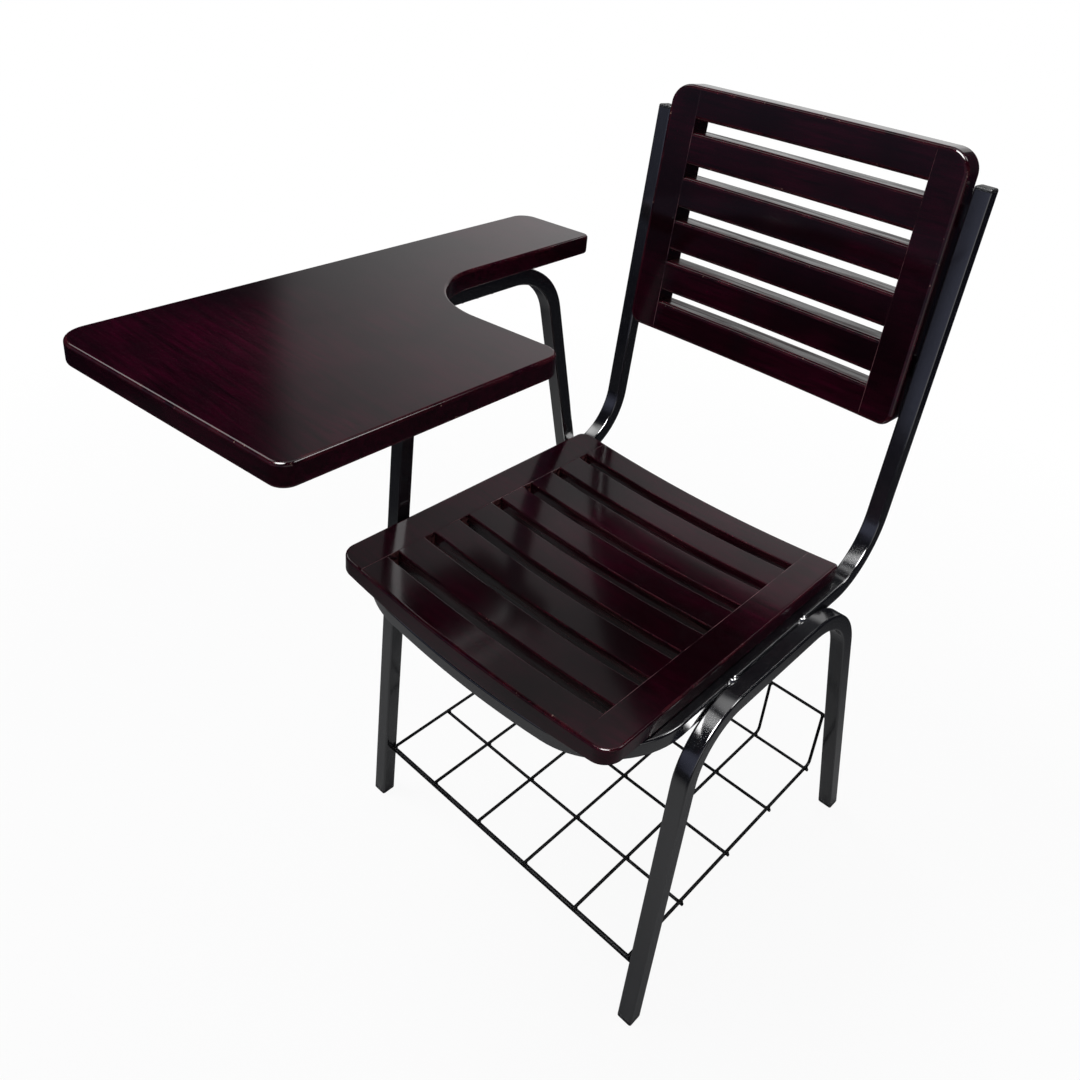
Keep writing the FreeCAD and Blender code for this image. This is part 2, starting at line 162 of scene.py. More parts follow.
class ChairTubeSizes(bpy.types.PropertyGroup):
    """Sizes of the square steel tube and its bends; places are from the middle of seat and front feet."""

    seat_front: length("Seat front", 0.090, "How far the seat reaches before the front feet")
    tube: length("Tube", 0.019, "Side of the square tube")
    tube_corner: length("Tube corner", 0.0025, "Outer corner radius of the tube")
    corner_steps: count("Corner steps", 4, "Facets in each rounded corner of the tube")
    bend_steps: count("Bend steps", 20, "Facets along each bend")
    bow_steps: count("Bow steps", 16, "Facets along the dipped front rail")
    hoop_side_gap: length("Hoop side gap", 0.0115, "From the seat's edge to a hoop")
    weld_gap: length("Weld gap", 0.0002, "From a hoop to the seat tube")
    rail_below_seat: length("Rail below seat", 0.020, "Top of the side rails below the seat's edge")
    leg_front_corner: length("Leg front corner", 0.015, "Front corner of the leg hoop")
    leg_rear_corner: length("Leg rear corner", 0.305, "Rear corner of the leg hoop")
    leg_rear_foot: length("Leg rear foot", 0.436, "Rear foot of the leg hoop")
    leg_flare: length("Leg flare", 0.009, "How far the rear leg foot stands out sideways")
    leg_front_bend: length("Leg front bend", 0.068, "Bend radius of the front leg")
    leg_rear_bend: length("Leg rear bend", 0.102, "Bend radius of the rear leg")
    arm_front_corner: length("Arm front corner", 0.021, "Front corner of the arm hoop")
    arm_rear_corner: length("Arm rear corner", 0.233, "Rear corner of the arm hoop")
    arm_rear_foot: length("Arm rear foot", 0.425, "Rear foot of the arm hoop")
    arm_front_bend: length("Arm front bend", 0.060, "Bend radius of the front post")
    arm_rear_bend: length("Arm rear bend", 0.078, "Bend radius of the rear post")
    front_rail: length("Front rail", -0.076, "Middle of the front rail")
    front_drop: length("Front drop", 0.025, "How far the front rail dips")
    front_bow_share: share("Front bow share", 0.957, "Share of the front rail's half that is bowed")
    front_corner_bend: length("Front corner bend", 0.086, "Bend radius from side rail to front rail")
    upright_corner: length("Upright corner", 0.380, "Corner between side rail and upright")
    upright_bend: length("Upright bend", 0.078, "Bend radius from side rail to upright")
    upright_top: length("Upright top", 0.876, "Height of the uprights with their caps")
    upright_lean: turn("Upright lean", 5.0, "How far the uprights lean back")
    upright_splay: length("Upright splay", 0.0045, "How far an upright's top stands out sideways")
    foot_flange: length("Foot flange", 0.005, "Height of the foot plug that shows")
    cap_flange: length("Cap flange", 0.004, "Height of the upright cap that shows")
    plug_round: length("Plug rounding", 0.0012, "Rounded rim of the feet")
    plug_steps: count("Plug steps", 3, "Facets in the rounded rim of the feet")
    cap_round: length("Cap rounding", 0.0026, "Rounded rim of the upright caps")
    cap_steps: count("Cap steps", 4, "Facets in the rounded rim of the upright caps")
    weld_front: length("Front weld", 0.091, "Middle of the front weld bead of the leg hoop")
    weld_rear: length("Rear weld", 0.226, "Middle of the rear weld bead of the leg hoop")
    weld_length: length("Weld length", 0.018, "Length of a weld bead")
    weld_radius: length("Weld radius", 0.0048, "Radius of a weld bead")
    weld_wander: length("Weld wander", 0.0012, "How far the lumps of a bead stray from the seam")
    weld_lumps: count("Weld lumps", 4, "Lumps along a weld bead")
    weld_steps: count("Weld steps", 6, "Facets along each lump")
    weld_facets: count("Weld facets", 12, "Facets around a weld bead")
    weld_pinch: share("Weld pinch", 0.62, "Radius of a bead between two lumps")


class ChairWoodSizes(bpy.types.PropertyGroup):
    """Sizes of the slatted seat, the slatted backrest and the writing board."""

    seat_dish: length("Seat dish", 0.010, "How far the seat is hollowed across")
    seat_under_sag: length("Seat sag", 0.014, "How far the seat's underside sags between the rails")
    seat_lift: length("Seat lift", 0.0003, "Gap between the side rails and the seat")
    seat_front_corner: length("Seat front corner", 0.020, "Corner radius at the front of the seat")
    seat_rear_left: length("Seat rear left corner", 0.005, "Corner radius at the sitter's left rear")
    seat_rear_right: length("Seat rear right corner", 0.015, "Corner radius at the sitter's right rear")
    stile: length("Stile", 0.038, "Width of the side pieces of seat and back")
    edge_round: length("Edge rounding", 0.0028, "Rounded outer edges of the seat")
    slot_round: length("Slot rounding", 0.0014, "Rounded edges of the seat's slots")
    under_round: length("Under rounding", 0.0010, "Rounded edges at the underside and the rear")
    joint_round: length("Joint rounding", 0.0008, "Fine groove at a joint between two pieces")
    joint_steps: count("Joint steps", 2, "Facets in the groove at a joint")
    edge_steps: count("Edge steps", 5, "Facets in each rounded edge")
    corner_steps: count("Corner steps", 12, "Facets in each rounded corner of seat and back")
    cross_cuts: count("Cross cuts", 24, "Cuts across a slat, which let it follow the dish")
    stile_cuts: count("Stile cuts", 6, "Cuts along a stile, which let it follow the dish")
    end_rough: share("End roughness", 1.0, "How rough the ends of the seat's slots are sawn")
    slot_rough: share("Slot roughness", 0.16, "How rough the sides of the seat's slots are sawn")
    rail_rough: share("Rail roughness", 0.30, "How rough the edges of the back rails are sawn")
    back_side_gap: length("Back side gap", 0.0008, "From the backrest to an upright")
    back_height: length("Back height", 0.306, "Height of the backrest along its lean")
    back_thickness: length("Back thickness", 0.030, "Thickness of the backrest")
    back_hollow: length("Back hollow", 0.005, "How far the backrest is hollowed across")
    back_bottom: length("Back bottom", 0.6045, "Height of the backrest's lower edge")
    back_proud: length("Back proud", 0.011, "How far the backrest stands before the uprights")
    back_round: length("Back rounding", 0.0042, "Rounded front edges of the backrest")
    back_top_corner: length("Back top corner", 0.025, "Corner radius at the top of the backrest")
    back_bottom_corner: length("Back bottom corner", 0.015, "Corner radius at its bottom")
    back_rail: length("Back rail", 0.0385, "Width of the rails of the backrest")
    board_overhang: length("Board overhang", 0.087, "How far the board reaches out past its hoop")
    board_width: length("Board width", 0.303, "Width of the writing board")
    board_arm: length("Board arm", 0.104, "Width of the board where the arm rests")
    board_front: length("Board front", -0.286, "Front edge of the board at its inner side")
    board_notch: length("Board notch", 0.023, "Rear edge of the writing surface")
    board_rear: length("Board rear", 0.292, "Rear end of the arm rest")
    board_skew: turn("Board skew", 5.6, "Slant of the board's front and rear edges")
    board_front_outer: length("Front outer corner", 0.028, "Corner radius of the board")
    board_front_inner: length("Front inner corner", 0.016, "Corner radius of the board")
    board_notch_outer: length("Notch outer corner", 0.020, "Corner radius of the board")
    board_notch_bend: length("Notch bend", 0.082, "Radius of the board's hollow corner")
    board_rear_inner: length("Rear inner corner", 0.009, "Corner radius of the board")
    board_rear_outer: length("Rear outer corner", 0.022, "Corner radius of the board")
    board_corner_steps: count("Board corner steps", 24, "Facets in each rounded corner of the board")
    board_round: length("Board rounding", 0.0034, "Rounded edges of the board")


class ChairRackSizes(bpy.types.PropertyGroup):
    """Sizes of the wire rack."""

    turn_bend: length("Turn bend", 0.007, "Bend radius where the long wires turn up")
    turn_steps: count("Turn steps", 8, "Facets along that bend")
    round_steps: count("Round steps", 14, "Facets around a wire")
    end_round: length("End rounding", 0.0008, "Rounded ends of the wires")
    end_steps: count("End steps", 2, "Facets in the rounded ends")
    weld_size: length("Weld spot", 0.0034, "Radius of the weld spots at the crossings")
    weld_flat: share("Weld flatness", 0.55, "Height of a weld spot by its width")
    weld_facets: count("Weld facets", 10, "Facets around a weld spot")
    weld_rings: count("Weld rings", 6, "Facets from pole to pole of a weld spot")


class ChairLooks(bpy.types.PropertyGroup):
    """Colours and finishes."""

    stain_dark: colour("Dark stain", (0.0035, 0.0002, 0.0011), "Stain in the dark grain")
    stain_light: colour("Light stain", (0.0330, 0.0004, 0.0080), "Stain between the grain")
    stain_worn: colour("Worn stain", (0.036, 0.0040, 0.0075), "Stain rubbed thin along the edges")
    raw_wood: colour("Raw wood", (0.17, 0.062, 0.058), "Thin stain on sawn faces")
    bare_wood: colour("Bare wood", (0.24, 0.15, 0.12), "Chips in the edges")
    joint_line: colour("Joint line", (0.115, 0.052, 0.058), "Filler in the joints")
    paint: colour("Frame paint", (0.0055, 0.0057, 0.0070), "Black paint of the tubes")
    wire_paint: colour("Wire paint", (0.004, 0.004, 0.0045), "Black paint of the rack")
    paint_worn: colour("Rubbed paint", (0.015, 0.0155, 0.018), "Paint, plastic and zinc where they are dull")
    plastic: colour("Plastic", (0.012, 0.012, 0.013), "Plugs of feet and uprights")
    zinc: colour("Zinc", (0.42, 0.42, 0.43), "Screws")
    wood_sheen: share("Wood sheen", 0.08, "Reflection of the stain under its clear coat")
    coat_blur: share("Coat blur", 0.11, "Roughness of the clear coat")
    paint_ior: number("Paint index", 2.3, "Index of refraction of the tubes' paint")
    wire_sheen: share("Wire sheen", 0.12, "Reflection of the rack's paint")
    floor: colour("Floor", (0.55, 0.55, 0.55), "Floor of the stage")
    floor_gloss: colour("Far floor", (0.020, 0.020, 0.023), "Far floor as polished faces show it")
    floor_glint: colour("Near floor", (0.19, 0.19, 0.19), "Floor near the chair as polished faces show it")
    soft_light: colour("Soft light", (0.95, 0.96, 1.0), "Soft light from the key light's side")
    soft_shade: colour("Soft shade", (0.60, 0.602, 0.62), "Soft light from the other side")
    window: colour("Window", (0.17, 0.18, 0.26), "Dim window before the chair as polished faces show it")
    room: colour("Room", (0.006, 0.006, 0.011), "Dim room as polished faces show it")


class ChairStageSizes(bpy.types.PropertyGroup):
    """Camera, lamps and floor."""

    camera_x: length("Camera across", 0.5310, "Camera from the middle of the seat")
    camera_y: length("Camera depth", -0.6304, "Camera from the middle of the front feet")
    camera_z: length("Camera height", 1.1336, "Camera above the floor")
    camera_azimuth: turn("Camera azimuth", 41.2085, "Turn of the camera round the chair")
    camera_elevation: turn("Camera elevation", 27.5543, "How steeply the camera looks down")
    camera_roll: turn("Camera roll", 5.1031, "Tilt of the camera")
    lens: millimetres("Lens", 33.849, "Focal length of the camera")
    sensor: millimetres("Sensor", 36.0, "Width of the camera's sensor")
    shift_x: number("Shift across", 0.01237, "Framing of the photograph, by the frame's width")
    shift_y: number("Shift up", -0.14311, "Framing of the photograph, by the frame's width")
    near_clip: length("Near clip", 0.01, "Distance at which the camera starts to see")
    floor_size: length("Floor size", 1.7, "Radius of the floor")
    floor_steps: count("Floor steps", 96, "Facets around the floor")
    fade_start: length("Fade start", 0.8, "Where the floor starts to fade to white")
    glint_start: length("Glint start", 0.5, "Where the floor starts to darken for polished faces")
    glint_end: length("Glint end", 0.9, "Where the floor is dark for polished faces")
    floor_lift: share("Floor lift", 0.93, "Share of white in the floor near the chair, for the camera")
    backdrop_edge: turn("Backdrop edge", 56.5, "Turn of the backdrop's left end from straight behind")
    key: strength("Key light", 1.6, "Strength of the key light")
    key_spread: turn("Key spread", 24.0, "How broad the key light looks")
    overhead: strength("Overhead light", 0.35, "Strength of the overhead light")
    overhead_spread: turn("Overhead spread", 30.0, "How broad the overhead light looks")
    soft_strength: strength("Soft light", 0.8, "Strength of the soft light all round")
    ceiling_gloss: strength("Ceiling gloss", 0.9, "Ceiling lamp as polished faces show it")
    left_gloss: strength("Left gloss", 3.0, "Lamp on the left as polished faces show it")
    right_gloss: strength("Right gloss", 0.5, "Low lamp on the right as polished faces show it")
    front_gloss: strength("Front gloss", 30.0, "Lamp in front as polished faces show it")
    edge_gloss: strength("Edge gloss", 1.4, "Lamp over the sitter as polished faces show it")
    rear_gloss: strength("Rear gloss", 8.0, "Lamp at the right rear as polished faces show it")


class ChairSettings(bpy.types.PropertyGroup):
    """All that a user would change."""

    tubes: PointerProperty(name="Tubes", description="Sizes of the steel tube", type=ChairTubeSizes)
    wood: PointerProperty(name="Wood", description="Sizes of the wooden pieces", type=ChairWoodSizes)
    rack: PointerProperty(name="Rack", description="Sizes of the wire rack", type=ChairRackSizes)
    looks: PointerProperty(name="Looks", description="Colours and finishes", type=ChairLooks)
    stage: PointerProperty(name="Stage", description="Camera, lamps and floor", type=ChairStageSizes)


def settings():
    return bpy.context.scene.tablet_chair


def at(x, y, z):
    """A point given from the middle of the seat and of the front feet."""
    middle = (SEAT_LEFT[1].x + SEAT_RIGHT[0].x) * HALF
    feet = SEAT_LEFT[0].y + settings().tubes.seat_front
    return Vector((middle + x, feet + y, z))


def hoop_x():
    tubes = settings().tubes
    return SEAT_WIDTH * HALF + tubes.hoop_side_gap + tubes.tube * HALF


def seat_tube_x():
    tubes = settings().tubes
    return hoop_x() - tubes.tube - tubes.weld_gap


def rail_top():
    return SEAT_EDGE_HEIGHT - settings().tubes.rail_below_seat


def rail_middle():
    return rail_top() - settings().tubes.tube * HALF


def rise(x, half_span, sag):
    """Height at x of an arc that sags between two points half_span each side of the middle."""
    radius = (half_span * half_span + sag * sag) / (2 * sag)
    return radius - math.sqrt(radius * radius - x * x)


# Nodes of the finishes


def new_material(name):
    material = bpy.data.materials.new(name)
    material.use_nodes = True
    tree = material.node_tree
    tree.nodes.clear()
    output = tree.nodes.new("ShaderNodeOutputMaterial")
    shader = tree.nodes.new("ShaderNodeBsdfPrincipled")
    tree.links.new(shader.outputs["BSDF"], output.inputs["Surface"])
    return material, tree, shader


def object_space(tree, scale=(1.0, 1.0, 1.0), turned=(0, 0, 0)):
    """Object coordinates, turned and stretched."""
    coordinates = tree.nodes.new("ShaderNodeTexCoord")
    mapping = tree.nodes.new("ShaderNodeMapping")
    mapping.inputs["Scale"].default_value = scale
    mapping.inputs["Rotation"].default_value = turned
    tree.links.new(coordinates.outputs["Object"], mapping.inputs["Vector"])
    return mapping.outputs["Vector"]


def noise(tree, vector, pattern):
    """One of the named patterns, laid out on a vector."""
    texture = tree.nodes.new("ShaderNodeTexNoise")
    for name, value in zip(("Scale", "Detail", "Roughness", "Distortion"), PATTERNS[pattern]):
        texture.inputs[name].default_value = value
    tree.links.new(vector, texture.inputs["Vector"])
    return texture.outputs["Fac"]


def ramp(tree, factor, low, high, start=0.0, end=1.0):
    """A factor that goes from start to end while another goes from low to high."""
    stretch = tree.nodes.new("ShaderNodeMapRange")
    stretch.inputs["From Min"].default_value = low
    stretch.inputs["From Max"].default_value = high
    stretch.inputs["To Min"].default_value = start
    stretch.inputs["To Max"].default_value = end
    tree.links.new(factor, stretch.inputs["Value"])
    return stretch.outputs["Result"]


def mixed(tree, factor, first, second):
    """A colour between two, each a colour or a socket."""
    mix = tree.nodes.new("ShaderNodeMix")
    mix.data_type = "RGBA"
    tree.links.new(factor, mix.inputs["Factor"])
    # The node has sockets A, B and Result for each kind of data; these are the ones for colours
    for socket, value in ((mix.inputs[6], first), (mix.inputs[7], second)):
        if isinstance(value, bpy.types.NodeSocket):
            tree.links.new(value, socket)
        else:
            socket.default_value = (*value, 1.0)
    return mix.outputs[2]


def worked_out(tree, operation, first, second):
    node = tree.nodes.new("ShaderNodeMath")
    node.operation = operation
    tree.links.new(first, node.inputs[0])
    tree.links.new(second, node.inputs[1])
    return node.outputs["Value"]


def product(tree, first, second):
    return worked_out(tree, "MULTIPLY", first, second)


def total(tree, first, second):
    return worked_out(tree, "ADD", first, second)


def larger(tree, first, second):
    return worked_out(tree, "MAXIMUM", first, second)


def marked(tree, name):
    """A mark that the piece's faces carry."""
    mark = tree.nodes.new("ShaderNodeAttribute")
    mark.attribute_name = name
    return mark.outputs["Fac"]


def bumped(tree, shader, height, amount, distance, layer="Normal"):
    bump = tree.nodes.new("ShaderNodeBump")
    bump.inputs["Strength"].default_value = amount
    bump.inputs["Distance"].default_value = distance
    tree.links.new(height, bump.inputs["Height"])
    tree.links.new(bump.outputs["Normal"], shader.inputs[layer])


# Finishes


def wood_colour(tree, plain, along_grain, sawn, saw_marks):
    """Stain with grain and clouds, rubbed and chipped edges, thin on sawn faces, and filled joints."""
    looks = settings().looks
    streaks = ramp(tree, noise(tree, along_grain, "grain"), low=0.28, high=0.78)
    tone = mixed(tree, streaks, looks.stain_dark, looks.stain_light)
    clouds = ramp(tree, noise(tree, plain, "clouds"), low=0.40, high=0.62, end=0.9)
    tone = mixed(tree, clouds, tone, looks.stain_dark)
    edge = marked(tree, "edge_wear")
    rubbed = ramp(tree, noise(tree, plain, "rubbing"), low=0.40, high=0.62)
    tone = mixed(tree, product(tree, edge, rubbed), tone, looks.stain_worn)
    knocks = ramp(tree, noise(tree, plain, "knocks"), low=0.55, high=0.60)
    chips = product(tree, knocks, ramp(tree, noise(tree, plain, "chips"), low=0.68, high=0.74))
    tone = mixed(tree, product(tree, edge, chips), tone, looks.bare_wood)
    thin = product(tree, sawn, ramp(tree, saw_marks, low=0.42, high=0.72, end=0.8))
    tone = mixed(tree, thin, tone, looks.raw_wood)
    filler = ramp(tree, noise(tree, plain, "filler"), low=0.45, high=0.62, start=0.12, end=0.85)
    return mixed(tree, product(tree, marked(tree, "joint_line"), filler), tone, looks.joint_line)


def wood_coat(tree, plain, sawn, saw_marks):
    """How thick the clear coat is: thin as painted shade round one seat place, and in the saw's marks."""
    from_place = tree.nodes.new("ShaderNodeVectorMath")
    from_place.operation = "DISTANCE"
    from_place.inputs[1].default_value = at(*PAINTED_SHADE_PLACE)
    tree.links.new(plain, from_place.inputs[0])
    # Painted shade: the coat is thinned round one place of the seat so that it reflects less there
    painted_shade = ramp(tree, from_place.outputs["Value"], PAINTED_SHADE_INNER, PAINTED_SHADE_OUTER, start=0.40, end=0.85)
    scored = product(tree, sawn, ramp(tree, saw_marks, low=0.44, high=0.58))
    return product(tree, painted_shade, ramp(tree, scored, low=0.0, high=0.3, start=1.0, end=0.15))


def wood_finish(name, turned):
    """Dark red-brown stain under a clear coat, with the grain along one axis."""
    looks = settings().looks
    material, tree, shader = new_material(name)
    plain = object_space(tree)
    along_grain = object_space(tree, GRAIN_STRETCH, turned)
    saw_marks = noise(tree, object_space(tree, SAW_STRETCH, turned), "saw_marks")
    sawn = marked(tree, "sawn")
    tone = wood_colour(tree, plain, along_grain, sawn, saw_marks)
    tree.links.new(tone, shader.inputs["Base Color"])
    polish = ramp(tree, noise(tree, plain, "wood_smudges"), low=0.3, high=0.7, start=0.14, end=0.26)
    rough = product(tree, sawn, ramp(tree, saw_marks, low=0.40, high=0.62, end=0.6))
    tree.links.new(total(tree, polish, rough), shader.inputs["Roughness"])
    shader.inputs["Specular IOR Level"].default_value = looks.wood_sheen
    tree.links.new(wood_coat(tree, plain, sawn, saw_marks), shader.inputs["Coat Weight"])
    shader.inputs["Coat Roughness"].default_value = looks.coat_blur
    grooves = product(tree, sawn, saw_marks)
    fibres = ramp(tree, noise(tree, along_grain, "fibres"), low=0.0, high=1.0, end=0.012)
    bumped(tree, shader, total(tree, grooves, fibres), amount=1.0, distance=0.0006)
    bumped(tree, shader, grooves, amount=1.0, distance=0.0016, layer="Coat Normal")
    return material


def tube_finish():
    """Black gloss paint, rubbed dull in places."""
    looks = settings().looks
    material, tree, shader = new_material("tube_paint")
    plain = object_space(tree)
    patches = ramp(tree, noise(tree, plain, "paint_patches"), low=0.55, high=0.75, end=0.35)
    tree.links.new(mixed(tree, patches, looks.paint, looks.paint_worn), shader.inputs["Base Color"])
    smudges = ramp(tree, noise(tree, plain, "paint_smudges"), low=0.3, high=0.7, start=0.09, end=0.18)
    tree.links.new(smudges, shader.inputs["Roughness"])
    shader.inputs["IOR"].default_value = looks.paint_ior
    bumped(tree, shader, noise(tree, plain, "paint_ripple"), amount=0.03, distance=0.0003)
    return material


def wire_finish():
    """Thin black paint of the rack, duller than the tubes."""
    looks = settings().looks
    material, tree, shader = new_material("wire_paint")
    patches = noise(tree, object_space(tree), "wire_patches")
    rubbed = ramp(tree, patches, low=0.55, high=0.75, end=0.4)
    tree.links.new(mixed(tree, rubbed, looks.wire_paint, looks.paint_worn), shader.inputs["Base Color"])
    smudges = ramp(tree, patches, low=0.3, high=0.7, start=0.34, end=0.5)
    tree.links.new(smudges, shader.inputs["Roughness"])
    shader.inputs["Specular IOR Level"].default_value = looks.wire_sheen
    return material


def plastic_finish():
    """Black plastic with scuffs and fine pits."""
    looks = settings().looks
    material, tree, shader = new_material("plug_plastic")
    plain = object_space(tree)
    scuffs = ramp(tree, noise(tree, plain, "plastic_scuffs"), low=0.5, high=0.75, end=0.5)
    tree.links.new(mixed(tree, scuffs, looks.plastic, looks.paint_worn), shader.inputs["Base Color"])
    rough = ramp(tree, scuffs, low=0.0, high=0.5, start=0.42, end=0.62)
    tree.links.new(rough, shader.inputs["Roughness"])
    bumped(tree, shader, noise(tree, plain, "plastic_pits"), amount=0.1, distance=0.0002)
    return material


def zinc_finish():
    """Zinc of the screws, dulled in specks."""
    looks = settings().looks
    material, tree, shader = new_material("screw_zinc")
    dull = noise(tree, object_space(tree), "zinc_dulling")
    tone = mixed(tree, ramp(tree, dull, low=0.4, high=0.7), looks.zinc, looks.paint_worn)
    tree.links.new(tone, shader.inputs["Base Color"])
    rough = ramp(tree, dull, low=0.3, high=0.7, start=0.25, end=0.5)
    tree.links.new(rough, shader.inputs["Roughness"])
    shader.inputs["Metallic"].default_value = 1.0
    return material


def finish(name):
    """A finish by name, made the first time it is asked for."""
    made = bpy.data.materials.get(name)
    if made:
        return made
    makers = {
        "wood_across": lambda: wood_finish("wood_across", (0, 0, 0)),
        "wood_deep": lambda: wood_finish("wood_deep", (0, 0, QUARTER_TURN)),
        "wood_upright": lambda: wood_finish("wood_upright", (0, QUARTER_TURN, 0)),
        "tube_paint": tube_finish,
        "wire_paint": wire_finish,
        "plug_plastic": plastic_finish,
        "screw_zinc": zinc_finish,
    }
    return makers[name]()


# Shaping


def unique(items):
    """The items without repeats, in a fixed order, so that every run gives the same mesh."""
    return list(dict.fromkeys(items))


def verts_of(geometry):
    return [item for item in geometry if isinstance(item, bmesh.types.BMVert)]


def edges_of(geometry):
    return [item for item in geometry if isinstance(item, bmesh.types.BMEdge)]


def finish_piece(name, bm, material, nodes, sharp=SHARP_EDGE):
    """Close the mesh, give it its finish and set it on the frame."""
    bmesh.ops.remove_doubles(bm, verts=bm.verts[:], dist=SAME_PLACE)
    bmesh.ops.recalc_face_normals(bm, faces=bm.faces[:])
    mesh = bpy.data.meshes.new(name)
    bm.to_mesh(mesh)
    bm.free()
    mesh.shade_smooth()
    mesh.set_sharp_from_angle(angle=math.radians(sharp))
    mesh.materials.append(finish(material))
    piece = bpy.data.objects.new(name, mesh)
    bpy.context.scene.collection.objects.link(piece)
    even = piece.modifiers.new("even_shading", "WEIGHTED_NORMAL")
    even.keep_sharp = True
    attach(piece, BODY)
    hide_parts(*nodes)
    return piece


def paint_node(name, material):
    """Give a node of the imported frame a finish; its mesh stays as it is."""
    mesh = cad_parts[name].data
    mesh.materials.clear()
    mesh.materials.append(finish(material))


def bevel(bm, geometry, offset, steps, affect="EDGES"):
    """Round edges or plan corners; gives what the operator made."""
    return bmesh.ops.bevel(
        bm,
        geom=geometry,
        offset=offset,
        offset_type="OFFSET",
        segments=steps,
        profile=0.5,
        affect=affect,
        material=-1,
    )


def square_ring(bm, middle, along):
    """The open outline of the square tube, square to the direction it runs in."""
    tubes = settings().tubes
    side = ACROSS - along * ACROSS.dot(along)
    if side.length < HALF:
        side = REARWARD - along * REARWARD.dot(along)
    side.normalize()
    turned = Matrix((side, along.cross(side), along)).transposed().to_4x4()
    lay = Matrix.Translation(middle) @ turned
    made = bmesh.ops.create_grid(bm, x_segments=1, y_segments=1, size=tubes.tube * HALF, matrix=lay)
    bevel(bm, made["verts"], tubes.tube_corner, tubes.corner_steps, "VERTICES")
    face = max(bm.faces, key=lambda item: len(item.verts))
    ring = face.edges[:]
    bmesh.ops.delete(bm, geom=[face], context="FACES_ONLY")
    return ring


def round_ring(bm, middle, along, radius, steps):
    """The open outline of a wire."""
    turned = along.to_track_quat("Z", "Y").to_matrix().to_4x4()
    lay = Matrix.Translation(middle) @ turned
    made = bmesh.ops.create_circle(bm, cap_ends=False, segments=steps, radius=radius, matrix=lay)
    return unique(edge for vert in made["verts"] for edge in vert.link_edges)


def edges_of_loop(verts):
    """The edges of the outline that runs through these points."""
    inside = set(verts)
    touching = unique(edge for vert in verts for edge in vert.link_edges)
    return [edge for edge in touching if set(edge.verts) <= inside]


def ring_verts(ring):
    return unique(vert for edge in ring for vert in edge.verts)


def run_on(bm, ring, step):
    """Draw an outline out along a straight run."""
    drawn = bmesh.ops.extrude_edge_only(bm, edges=ring)["geom"]
    bmesh.ops.translate(bm, vec=step, verts=verts_of(drawn))
    return edges_of_loop(verts_of(drawn))


def sweep(bm, ring, points, radii, steps):
    """Draw an outline along straight runs with a bend at each inner point; gives the last outline."""
    place = points[0]
    for before, corner, after, radius, facets in zip(points, points[1:], points[2:], radii, steps):
        towards = (before - corner).normalized()
        away = (after - corner).normalized()
        half = towards.angle(away) * HALF
        reach = radius / math.tan(half)
        first = corner + towards * reach
        ring = run_on(bm, ring, first - place)
        centre = corner + (towards + away).normalized() * (radius / math.sin(half))
        spun = bmesh.ops.spin(
            bm,
            geom=ring + ring_verts(ring),
            cent=centre,
            axis=(-towards).cross(away).normalized(),
            angle=math.pi - 2 * half,
            steps=facets,
            use_merge=False,
            use_duplicate=False,
        )
        ring = edges_of(spun["geom_last"])
        place = corner + away * reach
    return run_on(bm, ring, points[-1] - place)


def cap_rings(bm, *rings):
    for ring in rings:
        bmesh.ops.edgeloop_fill(bm, edges=ring)


def cut_level(verts, along, height):
    """Slide an outline along its run until it lies at a height."""
    for vert in verts:
        vert.co += along * ((height - vert.co.z) / along.z)


# Tubes, plugs and weld beads


def hoop_points(side, rail_height, front_corner, rear_corner, rear_foot, flare):
    x = side * hoop_x()
    return [
        at(x, 0, 0),
        at(x, front_corner, rail_height),
        at(x, rear_corner, rail_height),
        at(x + flare, rear_foot, 0),
    ]


def leg_path():
    tubes = settings().tubes
    places = (tubes.leg_front_corner, tubes.leg_rear_corner, tubes.leg_rear_foot, tubes.leg_flare)
    return hoop_points(1, rail_middle(), *places)


def arm_path():
    tubes = settings().tubes
    height = BOARD_TOP - BOARD_THICKNESS - tubes.tube * HALF
    return hoop_points(-1, height, tubes.arm_front_corner, tubes.arm_rear_corner, tubes.arm_rear_foot, 0)


def hoop(name, points, radii):
    """An upturned U of square tube that stands on its foot plugs."""
    tubes = settings().tubes
    bm = bmesh.new()
    first_way = (points[1] - points[0]).normalized()
    last_way = (points[-1] - points[-2]).normalized()
    first = square_ring(bm, points[0], first_way)
    last = sweep(bm, first, points, radii, [tubes.bend_steps] * len(radii))
    cut_level(ring_verts(first), first_way, tubes.foot_flange)
    cut_level(ring_verts(last), last_way, tubes.foot_flange)
    cap_rings(bm, first, last)
    return finish_piece(name, bm, "tube_paint", [name])


def upright_point(side, height):
    tubes = settings().tubes
    climb = height - rail_middle()
    spread = tubes.upright_splay * climb / (tubes.upright_top - rail_middle())
    y = tubes.upright_corner + climb * math.tan(tubes.upright_lean)
    return at(side * (seat_tube_x() + spread), y, height)


def upright_tube_top():
    tubes = settings().tubes
    return tubes.upright_top - tubes.cap_flange * math.cos(tubes.upright_lean)


def seat_back_path():
    """Corners of the seat and back tube from upright to upright, with the radius of each bend."""
    tubes = settings().tubes
    height = rail_middle()
    x = seat_tube_x()
    run = math.hypot(x, tubes.front_drop) - tubes.front_corner_bend
    bow = run * tubes.front_bow_share * x / tubes.front_drop
    points = [
        upright_point(-1, upright_tube_top()),
        at(-x, tubes.upright_corner, height),
        at(-x, tubes.front_rail, height),
        at(0, tubes.front_rail, height - tubes.front_drop),
        at(x, tubes.front_rail, height),
        at(x, tubes.upright_corner, height),
        upright_point(1, upright_tube_top()),
    ]
    bends = [tubes.upright_bend, tubes.front_corner_bend, bow, tubes.front_corner_bend, tubes.upright_bend]
    return points, bends


